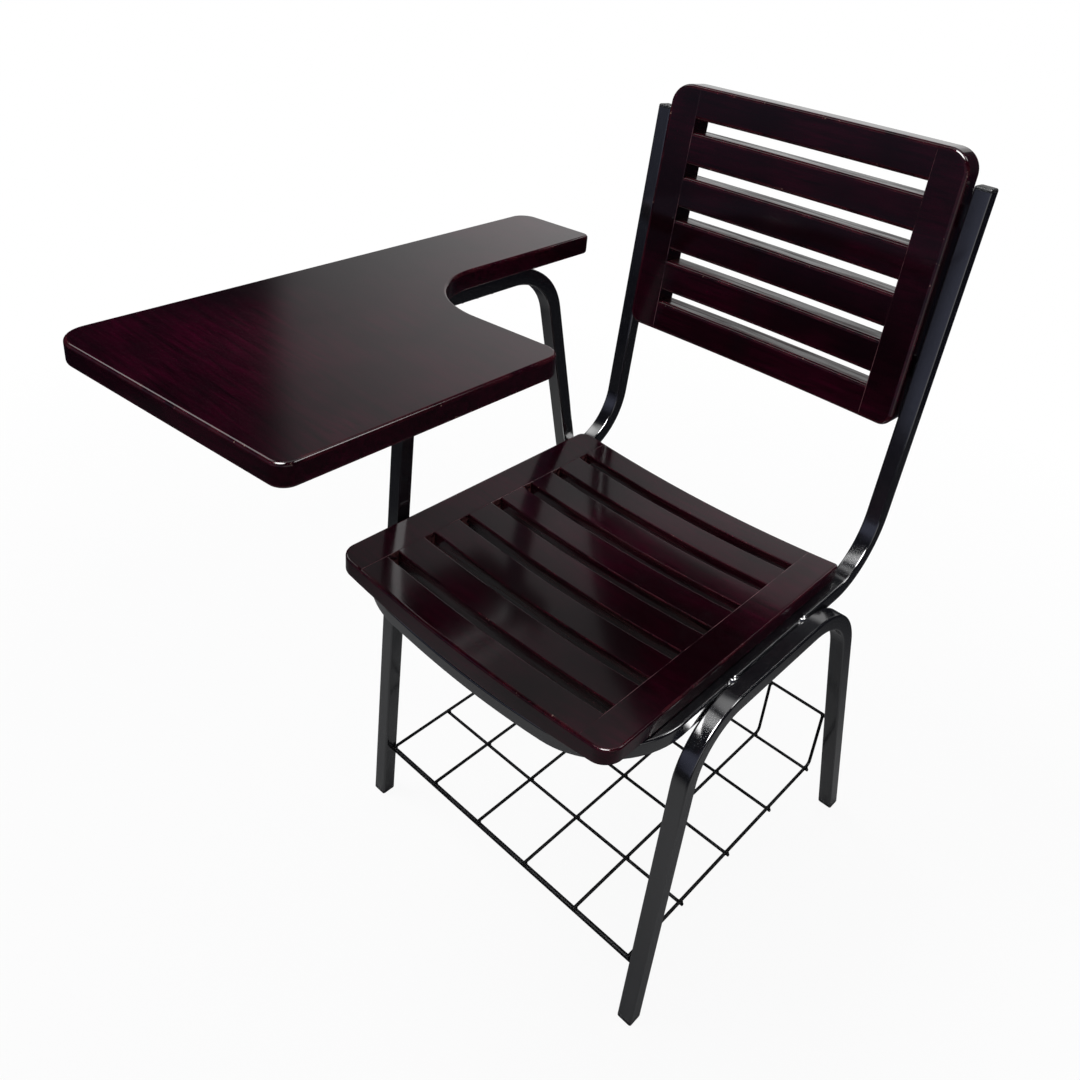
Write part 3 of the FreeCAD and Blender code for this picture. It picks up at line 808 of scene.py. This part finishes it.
def seat_back_tube():
    """One tube: upright, side rail, dipped front rail, side rail, upright."""
    tubes = settings().tubes
    points, bends = seat_back_path()
    bm = bmesh.new()
    first = square_ring(bm, points[0], (points[1] - points[0]).normalized())
    steps = [tubes.bend_steps, tubes.bend_steps, tubes.bow_steps, tubes.bend_steps, tubes.bend_steps]
    last = sweep(bm, first, points, bends, steps)
    cap_rings(bm, first, last)
    return finish_piece("seat_back_tube", bm, "tube_paint", ["seat_back_tube"])


def rim_edges(bm, far):
    """The edges of the flat end that lies furthest along a direction."""
    face = max(bm.faces, key=lambda item: item.calc_center_median().dot(far))
    return face.edges[:]


def foot_plug(name, inner, foot):
    """A plastic foot under a tube end, rounded where it meets the floor."""
    tubes = settings().tubes
    bm = bmesh.new()
    along = (foot - inner).normalized()
    upper = square_ring(bm, foot, along)
    lower = run_on(bm, upper, along * tubes.foot_flange)
    cut_level(ring_verts(upper), along, tubes.foot_flange)
    cut_level(ring_verts(lower), along, 0)
    cap_rings(bm, upper, lower)
    bevel(bm, rim_edges(bm, -UPWARD), tubes.plug_round, tubes.plug_steps)
    return finish_piece(name, bm, "plug_plastic", [name])


def upright_cap(name, side):
    """A plastic cap on top of an upright."""
    tubes = settings().tubes
    bm = bmesh.new()
    end = upright_point(side, upright_tube_top())
    along = (end - upright_point(side, rail_middle())).normalized()
    lower = square_ring(bm, end, along)
    upper = run_on(bm, lower, along * tubes.cap_flange)
    cap_rings(bm, lower, upper)
    bevel(bm, rim_edges(bm, along), tubes.cap_round, tubes.cap_steps)
    return finish_piece(name, bm, "plug_plastic", [name])


def weld_bead(name, middle):
    """A lumpy bead in the seam between a hoop and a side rail."""
    tubes = settings().tubes
    bm = bmesh.new()
    rings = tubes.weld_lumps * tubes.weld_steps
    onward = REARWARD * (tubes.weld_length / rings)
    place = middle - REARWARD * tubes.weld_length * HALF
    radius = tubes.weld_radius * tubes.weld_pinch * HALF
    first = round_ring(bm, place, REARWARD, radius, tubes.weld_facets)
    ring = first
    last_aside = ACROSS * tubes.weld_wander
    for index in range(1, rings + 1):
        run = math.pi * index / rings
        swell = abs(math.sin(run * tubes.weld_lumps))
        taper = max(math.sqrt(math.sin(run)), HALF) if index < rings else HALF
        wanted = tubes.weld_radius * taper * (tubes.weld_pinch + (1 - tubes.weld_pinch) * swell)
        aside = ACROSS * tubes.weld_wander * math.cos(run * tubes.weld_lumps)
        step = onward + aside - last_aside
        ring = run_on(bm, ring, step)
        place = place + step
        last_aside = aside
        ratio = wanted / radius
        bmesh.ops.scale(bm, vec=(ratio, 1, ratio), space=Matrix.Translation(-place), verts=ring_verts(ring))
        radius = wanted
    cap_rings(bm, first, ring)
    return finish_piece(name, bm, "tube_paint", [], SHARP_BEAD)


# Wood


def face_mark(bm, name):
    """The mark of that name on the faces, made the first time it is asked for."""
    marks = bm.faces.layers.float
    return marks.get(name) or marks.new(name)


def draw_up(bm, height):
    """Give a flat outline its thickness."""
    drawn = bmesh.ops.extrude_face_region(bm, geom=bm.faces[:])["geom"]
    bmesh.ops.translate(bm, vec=UPWARD * height, verts=verts_of(drawn))
    bmesh.ops.recalc_face_normals(bm, faces=bm.faces[:])


def plank(bm, low, high, corners):
    """A flat plank from corner to corner, with each plan corner rounded by its own radius."""
    wood = settings().wood
    middle = (low + high) * HALF
    size = high - low
    lay = Matrix.Translation(Vector((middle.x, middle.y, low.z))) @ Matrix.Diagonal((size.x, size.y, 1, 1))
    made = bmesh.ops.create_grid(bm, x_segments=1, y_segments=1, size=HALF, matrix=lay)
    spots = {(vert.co.x > middle.x, vert.co.y > middle.y): vert for vert in made["verts"]}
    for spot, radius in corners.items():
        bevel(bm, [spots[spot]], radius, wood.corner_steps, "VERTICES")
    draw_up(bm, size.z)


def level_edges(bm, height, wanted):
    """Edges that lie at a height and whose middle passes a test."""
    found = []
    for edge in bm.edges:
        first, second = edge.verts
        if abs(first.co.z - height) < SAME_PLACE and abs(second.co.z - height) < SAME_PLACE:
            if wanted((first.co + second.co) * HALF):
                found.append(edge)
    return found


def mark_sawn(bm, way, rough, wanted):
    """Mark how rough the faces square to a direction are sawn; wanted is a test of their middle."""
    nearly_square = 0.95
    sawn = face_mark(bm, "sawn")
    for face in bm.faces:
        if abs(face.normal.dot(way)) > nearly_square and wanted(face.calc_center_median()):
            face[sawn] = rough


def round_over(bm, edges, radius, steps, mark):
    """Round edges and mark the new faces."""
    for face in bevel(bm, edges, radius, steps)["faces"]:
        face[mark] = 1.0


def cut_across(bm, low, high, cuts):
    """Cut a piece crossways, so that it can follow an arc."""
    for index in range(1, cuts):
        x = low + (high - low) * index / cuts
        geometry = bm.verts[:] + bm.edges[:] + bm.faces[:]
        bmesh.ops.bisect_plane(bm, geom=geometry, dist=SAME_CUT, plane_co=(x, 0, 0), plane_no=ACROSS)


def stile(bm, low, high, outer, corners, top_round):
    """A side piece with a fine groove along its joint; gives the test for a spot at the joint."""
    wood = settings().wood
    inner_x = low.x if outer else high.x
    wear = face_mark(bm, "edge_wear")
    plank(bm, low, high, corners)
    joint = face_mark(bm, "joint_line")

    def at_joint(spot):
        return abs(spot.x - inner_x) < wood.joint_round

    for height, radius in ((low.z, wood.under_round), (high.z, top_round)):
        outline = level_edges(bm, height, lambda spot: not at_joint(spot))
        round_over(bm, outline, radius, wood.edge_steps, wear)
        seam = level_edges(bm, height, at_joint)
        round_over(bm, seam, wood.joint_round, wood.joint_steps, joint)
    return at_joint


def seat_top_at(x):
    wood = settings().wood
    return SEAT_EDGE_HEIGHT - wood.seat_dish + rise(x, SEAT_WIDTH * HALF, wood.seat_dish)


def seat_under_at(x):
    wood = settings().wood
    inner = seat_tube_x() - settings().tubes.tube * HALF
    return rail_top() + wood.seat_lift - wood.seat_under_sag + rise(x, inner, wood.seat_under_sag)


def seat_thickness():
    return settings().tubes.rail_below_seat


def dish_seat(bm):
    """Lay a flat plank on the seat's two arcs."""
    middle = at(0, 0, 0).x
    thickness = seat_thickness()
    for vert in bm.verts:
        x = vert.co.x - middle
        low = seat_under_at(x)
        vert.co.z = low + (seat_top_at(x) - low) * vert.co.z / thickness


def seat_stile(name, side):
    """A side piece of the seat, rounded at its outer corners."""
    wood = settings().wood
    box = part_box(name)
    outer = side > 0
    low = Vector((box[0].x, box[0].y, 0))
    high = Vector((box[1].x, box[1].y, seat_thickness()))
    rear_corner = wood.seat_rear_left if outer else wood.seat_rear_right
    corners = {(outer, False): wood.seat_front_corner, (outer, True): rear_corner}
    bm = bmesh.new()
    at_joint = stile(bm, low, high, outer, corners, wood.edge_round)
    mark_sawn(bm, ACROSS, wood.end_rough, at_joint)
    cut_across(bm, low.x, high.x, wood.stile_cuts)
    dish_seat(bm)
    return finish_piece(name, bm, "wood_deep", [name])


def at_seat_end(spot):
    """Whether a spot lies on the outer front or rear edge of the seat."""
    reach = settings().wood.edge_round
    return spot.y < SEAT_LEFT[0].y + reach or spot.y > SEAT_LEFT[1].y - reach


def seat_slat(name):
    """A slat of the seat between the two stiles."""
    wood = settings().wood
    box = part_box(name)
    thickness = seat_thickness()
    half = SEAT_WIDTH * HALF - wood.stile
    middle = at(0, 0, 0).x
    low = Vector((middle - half, box[0].y, 0))
    high = Vector((middle + half, box[1].y, thickness))

    def along_slat(spot):
        return abs(spot.x - middle) < half * HALF

    bm = bmesh.new()
    wear = face_mark(bm, "edge_wear")
    plank(bm, low, high, {})
    round_over(bm, level_edges(bm, 0, along_slat), wood.under_round, wood.edge_steps, wear)
    for outside, radius in ((True, wood.edge_round), (False, wood.slot_round)):
        rim = level_edges(bm, thickness, lambda spot: along_slat(spot) and at_seat_end(spot) == outside)
        round_over(bm, rim, radius, wood.edge_steps, wear)
    mark_sawn(bm, REARWARD, wood.slot_rough, lambda spot: not at_seat_end(spot))
    cut_across(bm, low.x, high.x, wood.cross_cuts)
    dish_seat(bm)
    return finish_piece(name, bm, "wood_across", [name])


def back_half():
    return seat_tube_x() - settings().tubes.tube * HALF - settings().wood.back_side_gap


def hollow_back(bm):
    """Bend a flat plank to the backrest's arc, stand it up and lean it on the uprights."""
    wood = settings().wood
    tubes = settings().tubes
    half = back_half()
    for vert in bm.verts:
        vert.co.z += rise(vert.co.x, half, wood.back_hollow) - rise(half, half, wood.back_hollow)
    stand = Matrix.Rotation(QUARTER_TURN, 4, "X")
    foot = upright_point(0, wood.back_bottom)
    foot.y -= tubes.tube * HALF / math.cos(tubes.upright_lean) + wood.back_proud
    lean = Matrix.Rotation(-tubes.upright_lean, 4, "X")
    lay = Matrix.Translation(foot) @ lean @ stand
    bmesh.ops.transform(bm, matrix=lay, verts=bm.verts[:])


def back_stile(name, side):
    """A side piece of the backrest, rounded at its outer corners."""
    wood = settings().wood
    half = back_half()
    outer = side > 0
    ends = sorted([side * half, side * (half - wood.stile)])
    low = Vector((ends[0], 0, -wood.back_thickness))
    high = Vector((ends[1], wood.back_height, 0))
    corners = {(outer, False): wood.back_bottom_corner, (outer, True): wood.back_top_corner}
    bm = bmesh.new()
    stile(bm, low, high, outer, corners, wood.back_round)
    cut_across(bm, low.x, high.x, wood.stile_cuts)
    hollow_back(bm)
    return finish_piece(name, bm, "wood_upright", [name])


def back_rail(name, index, rails):
    """One of the backrest's rails between the two stiles; index 0 is the lowest."""
    wood = settings().wood
    half = back_half() - wood.stile
    slot = (wood.back_height - rails * wood.back_rail) / (rails - 1)
    bottom = index * (wood.back_rail + slot)
    low = Vector((-half, bottom, -wood.back_thickness))
    high = Vector((half, bottom + wood.back_rail, 0))
    below_top = wood.back_height - wood.under_round
    bm = bmesh.new()
    wear = face_mark(bm, "edge_wear")
    plank(bm, low, high, {})
    for height, radius in ((low.z, wood.under_round), (high.z, wood.back_round)):
        outline = level_edges(bm, height, lambda spot: abs(spot.x) < half * HALF)
        round_over(bm, outline, radius, wood.edge_steps, wear)
    mark_sawn(bm, REARWARD, wood.rail_rough, lambda spot: 0 < spot.y < below_top)
    cut_across(bm, low.x, high.x, wood.cross_cuts)
    hollow_back(bm)
    return finish_piece(name, bm, "wood_across", [name])


def board_corners():
    """Corners of the board in plan, each with its radius."""
    wood = settings().wood
    slope = math.tan(wood.board_skew)
    outer = -hoop_x() - wood.board_overhang
    inner = outer + wood.board_width
    arm = outer + wood.board_arm

    def skewed(x, y, pivot):
        return at(x, y + (x - pivot) * slope, BOARD_TOP - BOARD_THICKNESS)

    return [
        (skewed(outer, wood.board_front, inner), wood.board_front_outer),
        (skewed(inner, wood.board_front, inner), wood.board_front_inner),
        (skewed(inner, wood.board_notch, inner), wood.board_notch_outer),
        (skewed(arm, wood.board_notch, inner), wood.board_notch_bend),
        (skewed(arm, wood.board_rear, arm), wood.board_rear_inner),
        (skewed(outer, wood.board_rear, arm), wood.board_rear_outer),
    ]


def writing_board():
    """The L-shaped board, one piece with rounded edges."""
    wood = settings().wood
    bm = bmesh.new()
    wear = face_mark(bm, "edge_wear")
    corners = board_corners()
    verts = [bm.verts.new(spot) for spot, radius in corners]
    bm.faces.new(verts)
    for index, (spot, radius) in enumerate(corners):
        before = corners[index - 1][0] - spot
        after = corners[(index + 1) % len(corners)][0] - spot
        reach = radius / math.tan(before.angle(after) * HALF)
        bevel(bm, [verts[index]], reach, wood.board_corner_steps, "VERTICES")
    draw_up(bm, BOARD_THICKNESS)
    for height in (BOARD_TOP - BOARD_THICKNESS, BOARD_TOP):
        outline = level_edges(bm, height, lambda spot: True)
        round_over(bm, outline, wood.board_round, wood.edge_steps, wear)
    return finish_piece("writing_board", bm, "wood_deep", ["writing_board"])


# Rack


def wire_ends(bm, rings):
    rack = settings().rack
    cap_rings(bm, *rings)
    rims = [edge for ring in rings for edge in ring if edge.is_valid]
    bevel(bm, rims, rack.end_round, rack.end_steps)


def straight_wire(name):
    """A rod across the rack, as long and thick as its solid."""
    rack = settings().rack
    low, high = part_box(name)
    bm = bmesh.new()
    middle = (low + high) * HALF
    start = Vector((low.x, middle.y, middle.z))
    first = round_ring(bm, start, ACROSS, (high.z - low.z) * HALF, rack.round_steps)
    last = run_on(bm, first, ACROSS * (high.x - low.x))
    wire_ends(bm, [first, last])
    return finish_piece(name, bm, "wire_paint", [name], SHARP_WIRE)


def long_wire(name):
    """A wire from the front rod to the rear, turned up there."""
    rack = settings().rack
    low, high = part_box(name)
    radius = (high.x - low.x) * HALF
    x = low.x + radius
    points = [
        Vector((x, low.y, low.z + radius)),
        Vector((x, high.y - radius, low.z + radius)),
        Vector((x, high.y - radius, high.z)),
    ]
    bm = bmesh.new()
    first = round_ring(bm, points[0], REARWARD, radius, rack.round_steps)
    last = sweep(bm, first, points, [rack.turn_bend], [rack.turn_steps])
    wire_ends(bm, [first, last])
    return finish_piece(name, bm, "wire_paint", [name], SHARP_WIRE)


def crossings():
    """Places where the rack's wires are welded together."""
    long_wires = [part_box(name) for name in nodes_named("rack_long_wire_")]
    across = [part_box(name) for name in nodes_named("rack_cross_wire_") + ["rack_front_rod"]]
    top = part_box("rack_top_wire")
    places = []
    for low, high in long_wires:
        x = (low.x + high.x) * HALF
        for bottom, upper in across:
            places.append(Vector((x, (bottom.y + upper.y) * HALF, upper.z)))
        places.append(Vector((x, top[0].y, (top[0].z + top[1].z) * HALF)))
    return places


def weld_spots():
    """Small lumps of weld at every crossing of the rack."""
    rack = settings().rack
    flatten = Matrix.Diagonal((1, 1, rack.weld_flat, 1))
    bm = bmesh.new()
    for place in crossings():
        bmesh.ops.create_uvsphere(
            bm,
            u_segments=rack.weld_facets,
            v_segments=rack.weld_rings,
            radius=rack.weld_size,
            matrix=Matrix.Translation(place) @ flatten,
        )
    return finish_piece("rack_weld_spots", bm, "wire_paint", [], SHARP_SPOT)


# Stage


def camera_matrix(stage):
    """The photograph's camera as a matrix."""
    level = math.cos(stage.camera_elevation)
    roll = stage.camera_roll
    back = Vector((
        math.sin(stage.camera_azimuth) * level,
        -math.cos(stage.camera_azimuth) * level,
        math.sin(stage.camera_elevation),
    ))
    right = (-back).cross(UPWARD).normalized()
    up = right.cross(-back)
    across = right * math.cos(roll) + up * math.sin(roll)
    upright = up * math.cos(roll) - right * math.sin(roll)
    turned = Matrix((across, upright, back)).transposed().to_4x4()
    return Matrix.Translation(at(stage.camera_x, stage.camera_y, stage.camera_z)) @ turned


def make_camera():
    stage = settings().stage
    data = bpy.data.cameras.new("chair_camera")
    data.sensor_width = stage.sensor
    data.lens = stage.lens
    data.shift_x = stage.shift_x
    data.shift_y = stage.shift_y
    data.clip_start = stage.near_clip
    camera = bpy.data.objects.new("chair_camera", data)
    bpy.context.scene.collection.objects.link(camera)
    camera.matrix_world = camera_matrix(stage)
    bpy.context.scene.camera = camera


def chosen(tree, factor, first, second):
    """One of two shaders, or a share of each."""
    mix = tree.nodes.new("ShaderNodeMixShader")
    tree.links.new(factor, mix.inputs["Fac"])
    tree.links.new(first, mix.inputs[1])
    tree.links.new(second, mix.inputs[2])
    return mix.outputs["Shader"]


def seen_straight(tree, path):
    """Rays that come from the camera, past clear things too."""
    return total(tree, path.outputs["Is Camera Ray"], path.outputs["Is Transmission Ray"])


def floor_finish():
    """Pale for the light, darker for polished faces, and fading to white for the camera."""
    stage = settings().stage
    looks = settings().looks
    material, tree, shader = new_material("floor_pale")
    shader.inputs["Base Color"].default_value = (*looks.floor, 1.0)
    shader.inputs["Roughness"].default_value = 0.9
    shader.inputs["Specular IOR Level"].default_value = 0.1
    polished = tree.nodes.new("ShaderNodeBsdfDiffuse")
    white = tree.nodes.new("ShaderNodeEmission")
    path = tree.nodes.new("ShaderNodeLightPath")
    from_middle = tree.nodes.new("ShaderNodeVectorMath")
    from_middle.operation = "LENGTH"
    tree.links.new(object_space(tree), from_middle.inputs[0])
    reach = from_middle.outputs["Value"]
    near = ramp(tree, reach, stage.glint_start, stage.glint_end, start=1.0, end=0.0)
    tree.links.new(mixed(tree, near, looks.floor_gloss, looks.floor_glint), polished.inputs["Color"])
    fade = ramp(tree, reach, stage.fade_start, stage.floor_size, start=stage.floor_lift)
    lit = chosen(tree, path.outputs["Is Glossy Ray"], shader.outputs["BSDF"], polished.outputs["BSDF"])
    lift = product(tree, fade, seen_straight(tree, path))
    shown = chosen(tree, lift, lit, white.outputs["Emission"])
    output = next(node for node in tree.nodes if node.type == "OUTPUT_MATERIAL")
    tree.links.new(shown, output.inputs["Surface"])
    return material


def make_floor():
    """A pale round floor."""
    stage = settings().stage
    bm = bmesh.new()
    bmesh.ops.create_circle(bm, cap_ends=True, segments=stage.floor_steps, radius=stage.floor_size)
    mesh = bpy.data.meshes.new("stage_floor")
    bm.to_mesh(mesh)
    bm.free()
    mesh.materials.append(floor_finish())
    floor = bpy.data.objects.new("stage_floor", mesh)
    bpy.context.scene.collection.objects.link(floor)


def background(tree, tint, level=1.0):
    node = tree.nodes.new("ShaderNodeBackground")
    node.inputs["Strength"].default_value = level
    if isinstance(tint, bpy.types.NodeSocket):
        tree.links.new(tint, node.inputs["Color"])
    else:
        node.inputs["Color"].default_value = (*tint, 1.0)
    return node.outputs["Background"]


def facing(tree, direction, way, low, high, start=0.0, end=1.0):
    """A level that goes from start to end while the cosine to a way goes from low to high."""
    dot = tree.nodes.new("ShaderNodeVectorMath")
    dot.operation = "DOT_PRODUCT"
    dot.inputs[1].default_value = Vector(way).normalized()
    tree.links.new(direction, dot.inputs[0])
    return ramp(tree, dot.outputs["Value"], low, high, start, end)


def gloss_backdrop(tree, direction):
    """How bright the backdrop behind the chair is for polished faces."""
    edge = settings().stage.backdrop_edge
    inwards = (math.cos(edge), math.sin(edge), 0)
    high = facing(tree, direction, UPWARD, low=0.46, high=0.58)
    high_right = product(tree, high, facing(tree, direction, ACROSS, low=-0.46, high=-0.34))
    level = ramp(tree, high_right, low=0.0, high=1.0, start=1.0, end=0.08)
    # Each shade is a way, the cosines to it between which the level changes, and the two levels
    shades = (
        (inwards, -0.012, 0.012, 0.0, 1.0),  # ends sharply on the left
        (inwards, 0.0, 0.28, 0.25, 0.7),  # dimmer towards that end
        (ACROSS, -0.2, 0.0, 1.0, 0.02),  # nearly gone on the right
        (UPWARD, 0.45, 0.85, 1.0, 0.15),  # dimmer overhead
        (UPWARD, -0.20, -0.05, 0.03, 1.0),  # nearly gone below the horizon
    )
    for shade in shades:
        level = product(tree, level, facing(tree, direction, *shade))
    return level


def gloss_window(tree, direction):
    """How bright the dim window before the chair is for polished faces; it reaches lower on the right."""
    upper = facing(tree, direction, UPWARD, low=-0.22, high=0.08)
    right = facing(tree, direction, ACROSS, low=-0.34, high=-0.27)
    lower_right = product(tree, right, facing(tree, direction, UPWARD, low=-0.50, high=-0.35))
    ahead = facing(tree, direction, -REARWARD, low=0.4, high=0.8)
    window = product(tree, ahead, larger(tree, upper, lower_right))
    return product(tree, window, facing(tree, direction, UPWARD, low=0.2, high=0.5, start=1.0, end=0.0))


def gloss_lamps(tree, direction):
    """The small lamps that only polished faces show, taken together."""
    stage = settings().stage
    together = None
    for name, (way, low, high) in GLOSS_LAMPS.items():
        lamp = facing(tree, direction, way, low, high, end=getattr(stage, f"{name}_gloss"))
        together = lamp if together is None else total(tree, together, lamp)
    return together


def make_world():
    """White for the camera, soft light all round, and a backdrop, a room and lamps for the gloss."""
    looks = settings().looks
    world = bpy.data.worlds.new("studio")
    bpy.context.scene.world = world
    world.use_nodes = True
    tree = world.node_tree
    tree.nodes.clear()
    output = tree.nodes.new("ShaderNodeOutputWorld")
    path = tree.nodes.new("ShaderNodeLightPath")
    direction = tree.nodes.new("ShaderNodeTexCoord").outputs["Generated"]
    room = mixed(tree, gloss_window(tree, direction), looks.room, looks.window)
    glow = tree.nodes.new("ShaderNodeVectorMath")
    glow.operation = "ADD"
    tree.links.new(mixed(tree, gloss_backdrop(tree, direction), room, WHITE), glow.inputs[0])
    tree.links.new(gloss_lamps(tree, direction), glow.inputs[1])
    gloss = background(tree, glow.outputs["Vector"])
    key_side = facing(tree, direction, KEY_WAY, low=0.0, high=1.0)
    softness = mixed(tree, key_side, looks.soft_shade, looks.soft_light)
    soft = background(tree, softness, settings().stage.soft_strength)
    lit = chosen(tree, path.outputs["Is Glossy Ray"], soft, gloss)
    seen = chosen(tree, seen_straight(tree, path), lit, background(tree, WHITE))
    tree.links.new(seen, output.inputs["Surface"])


def make_light(name, energy, spread, way):
    """A broad lamp that shines from a direction and doesn't show in polished faces."""
    data = bpy.data.lights.new(name, "SUN")
    data.energy = energy
    data.angle = spread
    lamp = bpy.data.objects.new(name, data)
    bpy.context.scene.collection.objects.link(lamp)
    lamp.rotation_euler = way.to_track_quat("Z", "Y").to_euler()
    lamp.visible_glossy = False


def make_lights():
    """A key light from the upper left and a weaker one from overhead."""
    stage = settings().stage
    make_light("key_light", stage.key, stage.key_spread, KEY_WAY)
    make_light("overhead_light", stage.overhead, stage.overhead_spread, OVERHEAD_WAY)


# Operators


class CHAIR_OT_hoops(bpy.types.Operator):
    """Make the arm hoop and the leg hoop"""

    bl_idname = "chair.hoops"
    bl_label = "Hoops"

    def execute(self, context):
        tubes = settings().tubes
        hoop("leg_hoop", leg_path(), [tubes.leg_front_bend, tubes.leg_rear_bend])
        hoop("arm_hoop", arm_path(), [tubes.arm_front_bend, tubes.arm_rear_bend])
        return {"FINISHED"}


class CHAIR_OT_seat_back_tube(bpy.types.Operator):
    """Make the bent tube that carries seat and backrest"""

    bl_idname = "chair.seat_back_tube"
    bl_label = "Seat and Back Tube"

    def execute(self, context):
        seat_back_tube()
        return {"FINISHED"}


class CHAIR_OT_plugs(bpy.types.Operator):
    """Make the foot plugs and the upright caps"""

    bl_idname = "chair.plugs"
    bl_label = "Plugs and Caps"

    def execute(self, context):
        for side, path in (("left", leg_path()), ("right", arm_path())):
            foot_plug(f"foot_plug_front_{side}", path[1], path[0])
            foot_plug(f"foot_plug_rear_{side}", path[2], path[3])
        upright_cap("upright_cap_left", 1)
        upright_cap("upright_cap_right", -1)
        return {"FINISHED"}


class CHAIR_OT_weld_beads(bpy.types.Operator):
    """Make the weld beads between the leg hoop and the side rail"""

    bl_idname = "chair.weld_beads"
    bl_label = "Weld Beads"

    def execute(self, context):
        tubes = settings().tubes
        seam = hoop_x() - tubes.tube * HALF - tubes.weld_gap * HALF
        height = rail_top() - tubes.tube_corner * HALF
        weld_bead("weld_bead_front", at(seam, tubes.weld_front, height))
        weld_bead("weld_bead_rear", at(seam, tubes.weld_rear, height))
        return {"FINISHED"}


class CHAIR_OT_seat(bpy.types.Operator):
    """Make the stiles and slats of the seat"""

    bl_idname = "chair.seat"
    bl_label = "Slatted Seat"

    def execute(self, context):
        seat_stile("seat_stile_left", 1)
        seat_stile("seat_stile_right", -1)
        for name in nodes_named("seat_slat_"):
            seat_slat(name)
        return {"FINISHED"}


class CHAIR_OT_backrest(bpy.types.Operator):
    """Make the stiles and rails of the backrest"""

    bl_idname = "chair.backrest"
    bl_label = "Slatted Backrest"

    def execute(self, context):
        back_stile("back_stile_left", 1)
        back_stile("back_stile_right", -1)
        rails = nodes_named("back_rail_")
        for index, name in enumerate(rails):
            back_rail(name, index, len(rails))
        return {"FINISHED"}


class CHAIR_OT_writing_board(bpy.types.Operator):
    """Make the writing board"""

    bl_idname = "chair.writing_board"
    bl_label = "Writing Board"

    def execute(self, context):
        writing_board()
        return {"FINISHED"}


class CHAIR_OT_rack(bpy.types.Operator):
    """Make the wire rack and its weld spots"""

    bl_idname = "chair.rack"
    bl_label = "Wire Rack"

    def execute(self, context):
        for name in nodes_named("rack_cross_wire_") + ["rack_front_rod", "rack_top_wire"]:
            straight_wire(name)
        for name in nodes_named("rack_long_wire_"):
            long_wire(name)
        weld_spots()
        return {"FINISHED"}


class CHAIR_OT_fixings(bpy.types.Operator):
    """Give the steel tabs and the screws their finish"""

    bl_idname = "chair.fixings"
    bl_label = "Tabs and Screws"

    def execute(self, context):
        for name in nodes_named("seat_tab_") + nodes_named("back_tab_"):
            paint_node(name, "tube_paint")
        for name in ("seat_screws", "back_screws", "board_screws"):
            paint_node(name, "screw_zinc")
        return {"FINISHED"}


class CHAIR_OT_stage(bpy.types.Operator):
    """Make the camera, the lamps, the world and the floor"""

    bl_idname = "chair.stage"
    bl_label = "Stage"

    def execute(self, context):
        context.scene.view_settings.view_transform = "Standard"
        make_camera()
        make_world()
        make_lights()
        make_floor()
        return {"FINISHED"}


class CHAIR_PT_panel(bpy.types.Panel):
    """Lists the chair's pieces in the sidebar"""

    bl_idname = "CHAIR_PT_panel"
    bl_label = "Tablet Arm Chair"
    bl_space_type = "VIEW_3D"
    bl_region_type = "UI"
    bl_category = "Chair"

    def draw(self, context):
        for step in STEPS:
            self.layout.operator(step.bl_idname)


GROUPS = (ChairTubeSizes, ChairWoodSizes, ChairRackSizes, ChairLooks, ChairStageSizes, ChairSettings)
STEPS = (
    CHAIR_OT_hoops,
    CHAIR_OT_seat_back_tube,
    CHAIR_OT_plugs,
    CHAIR_OT_weld_beads,
    CHAIR_OT_seat,
    CHAIR_OT_backrest,
    CHAIR_OT_writing_board,
    CHAIR_OT_rack,
    CHAIR_OT_fixings,
    CHAIR_OT_stage,
)
CLASSES = GROUPS + STEPS + (CHAIR_PT_panel,)


def register():
    for item in CLASSES:
        bpy.utils.register_class(item)
    bpy.types.Scene.tablet_chair = PointerProperty(
        name="Tablet Arm Chair", description="All that a user would change", type=ChairSettings
    )


def unregister():
    del bpy.types.Scene.tablet_chair
    for item in reversed(CLASSES):
        bpy.utils.unregister_class(item)


def main():
    register()
    bpy.ops.chair.hoops()
    bpy.ops.chair.seat_back_tube()
    bpy.ops.chair.plugs()
    bpy.ops.chair.weld_beads()
    bpy.ops.chair.seat()
    bpy.ops.chair.backrest()
    bpy.ops.chair.writing_board()
    bpy.ops.chair.rack()
    bpy.ops.chair.fixings()
    bpy.ops.chair.stage()


if __name__ == "__main__":
    main()
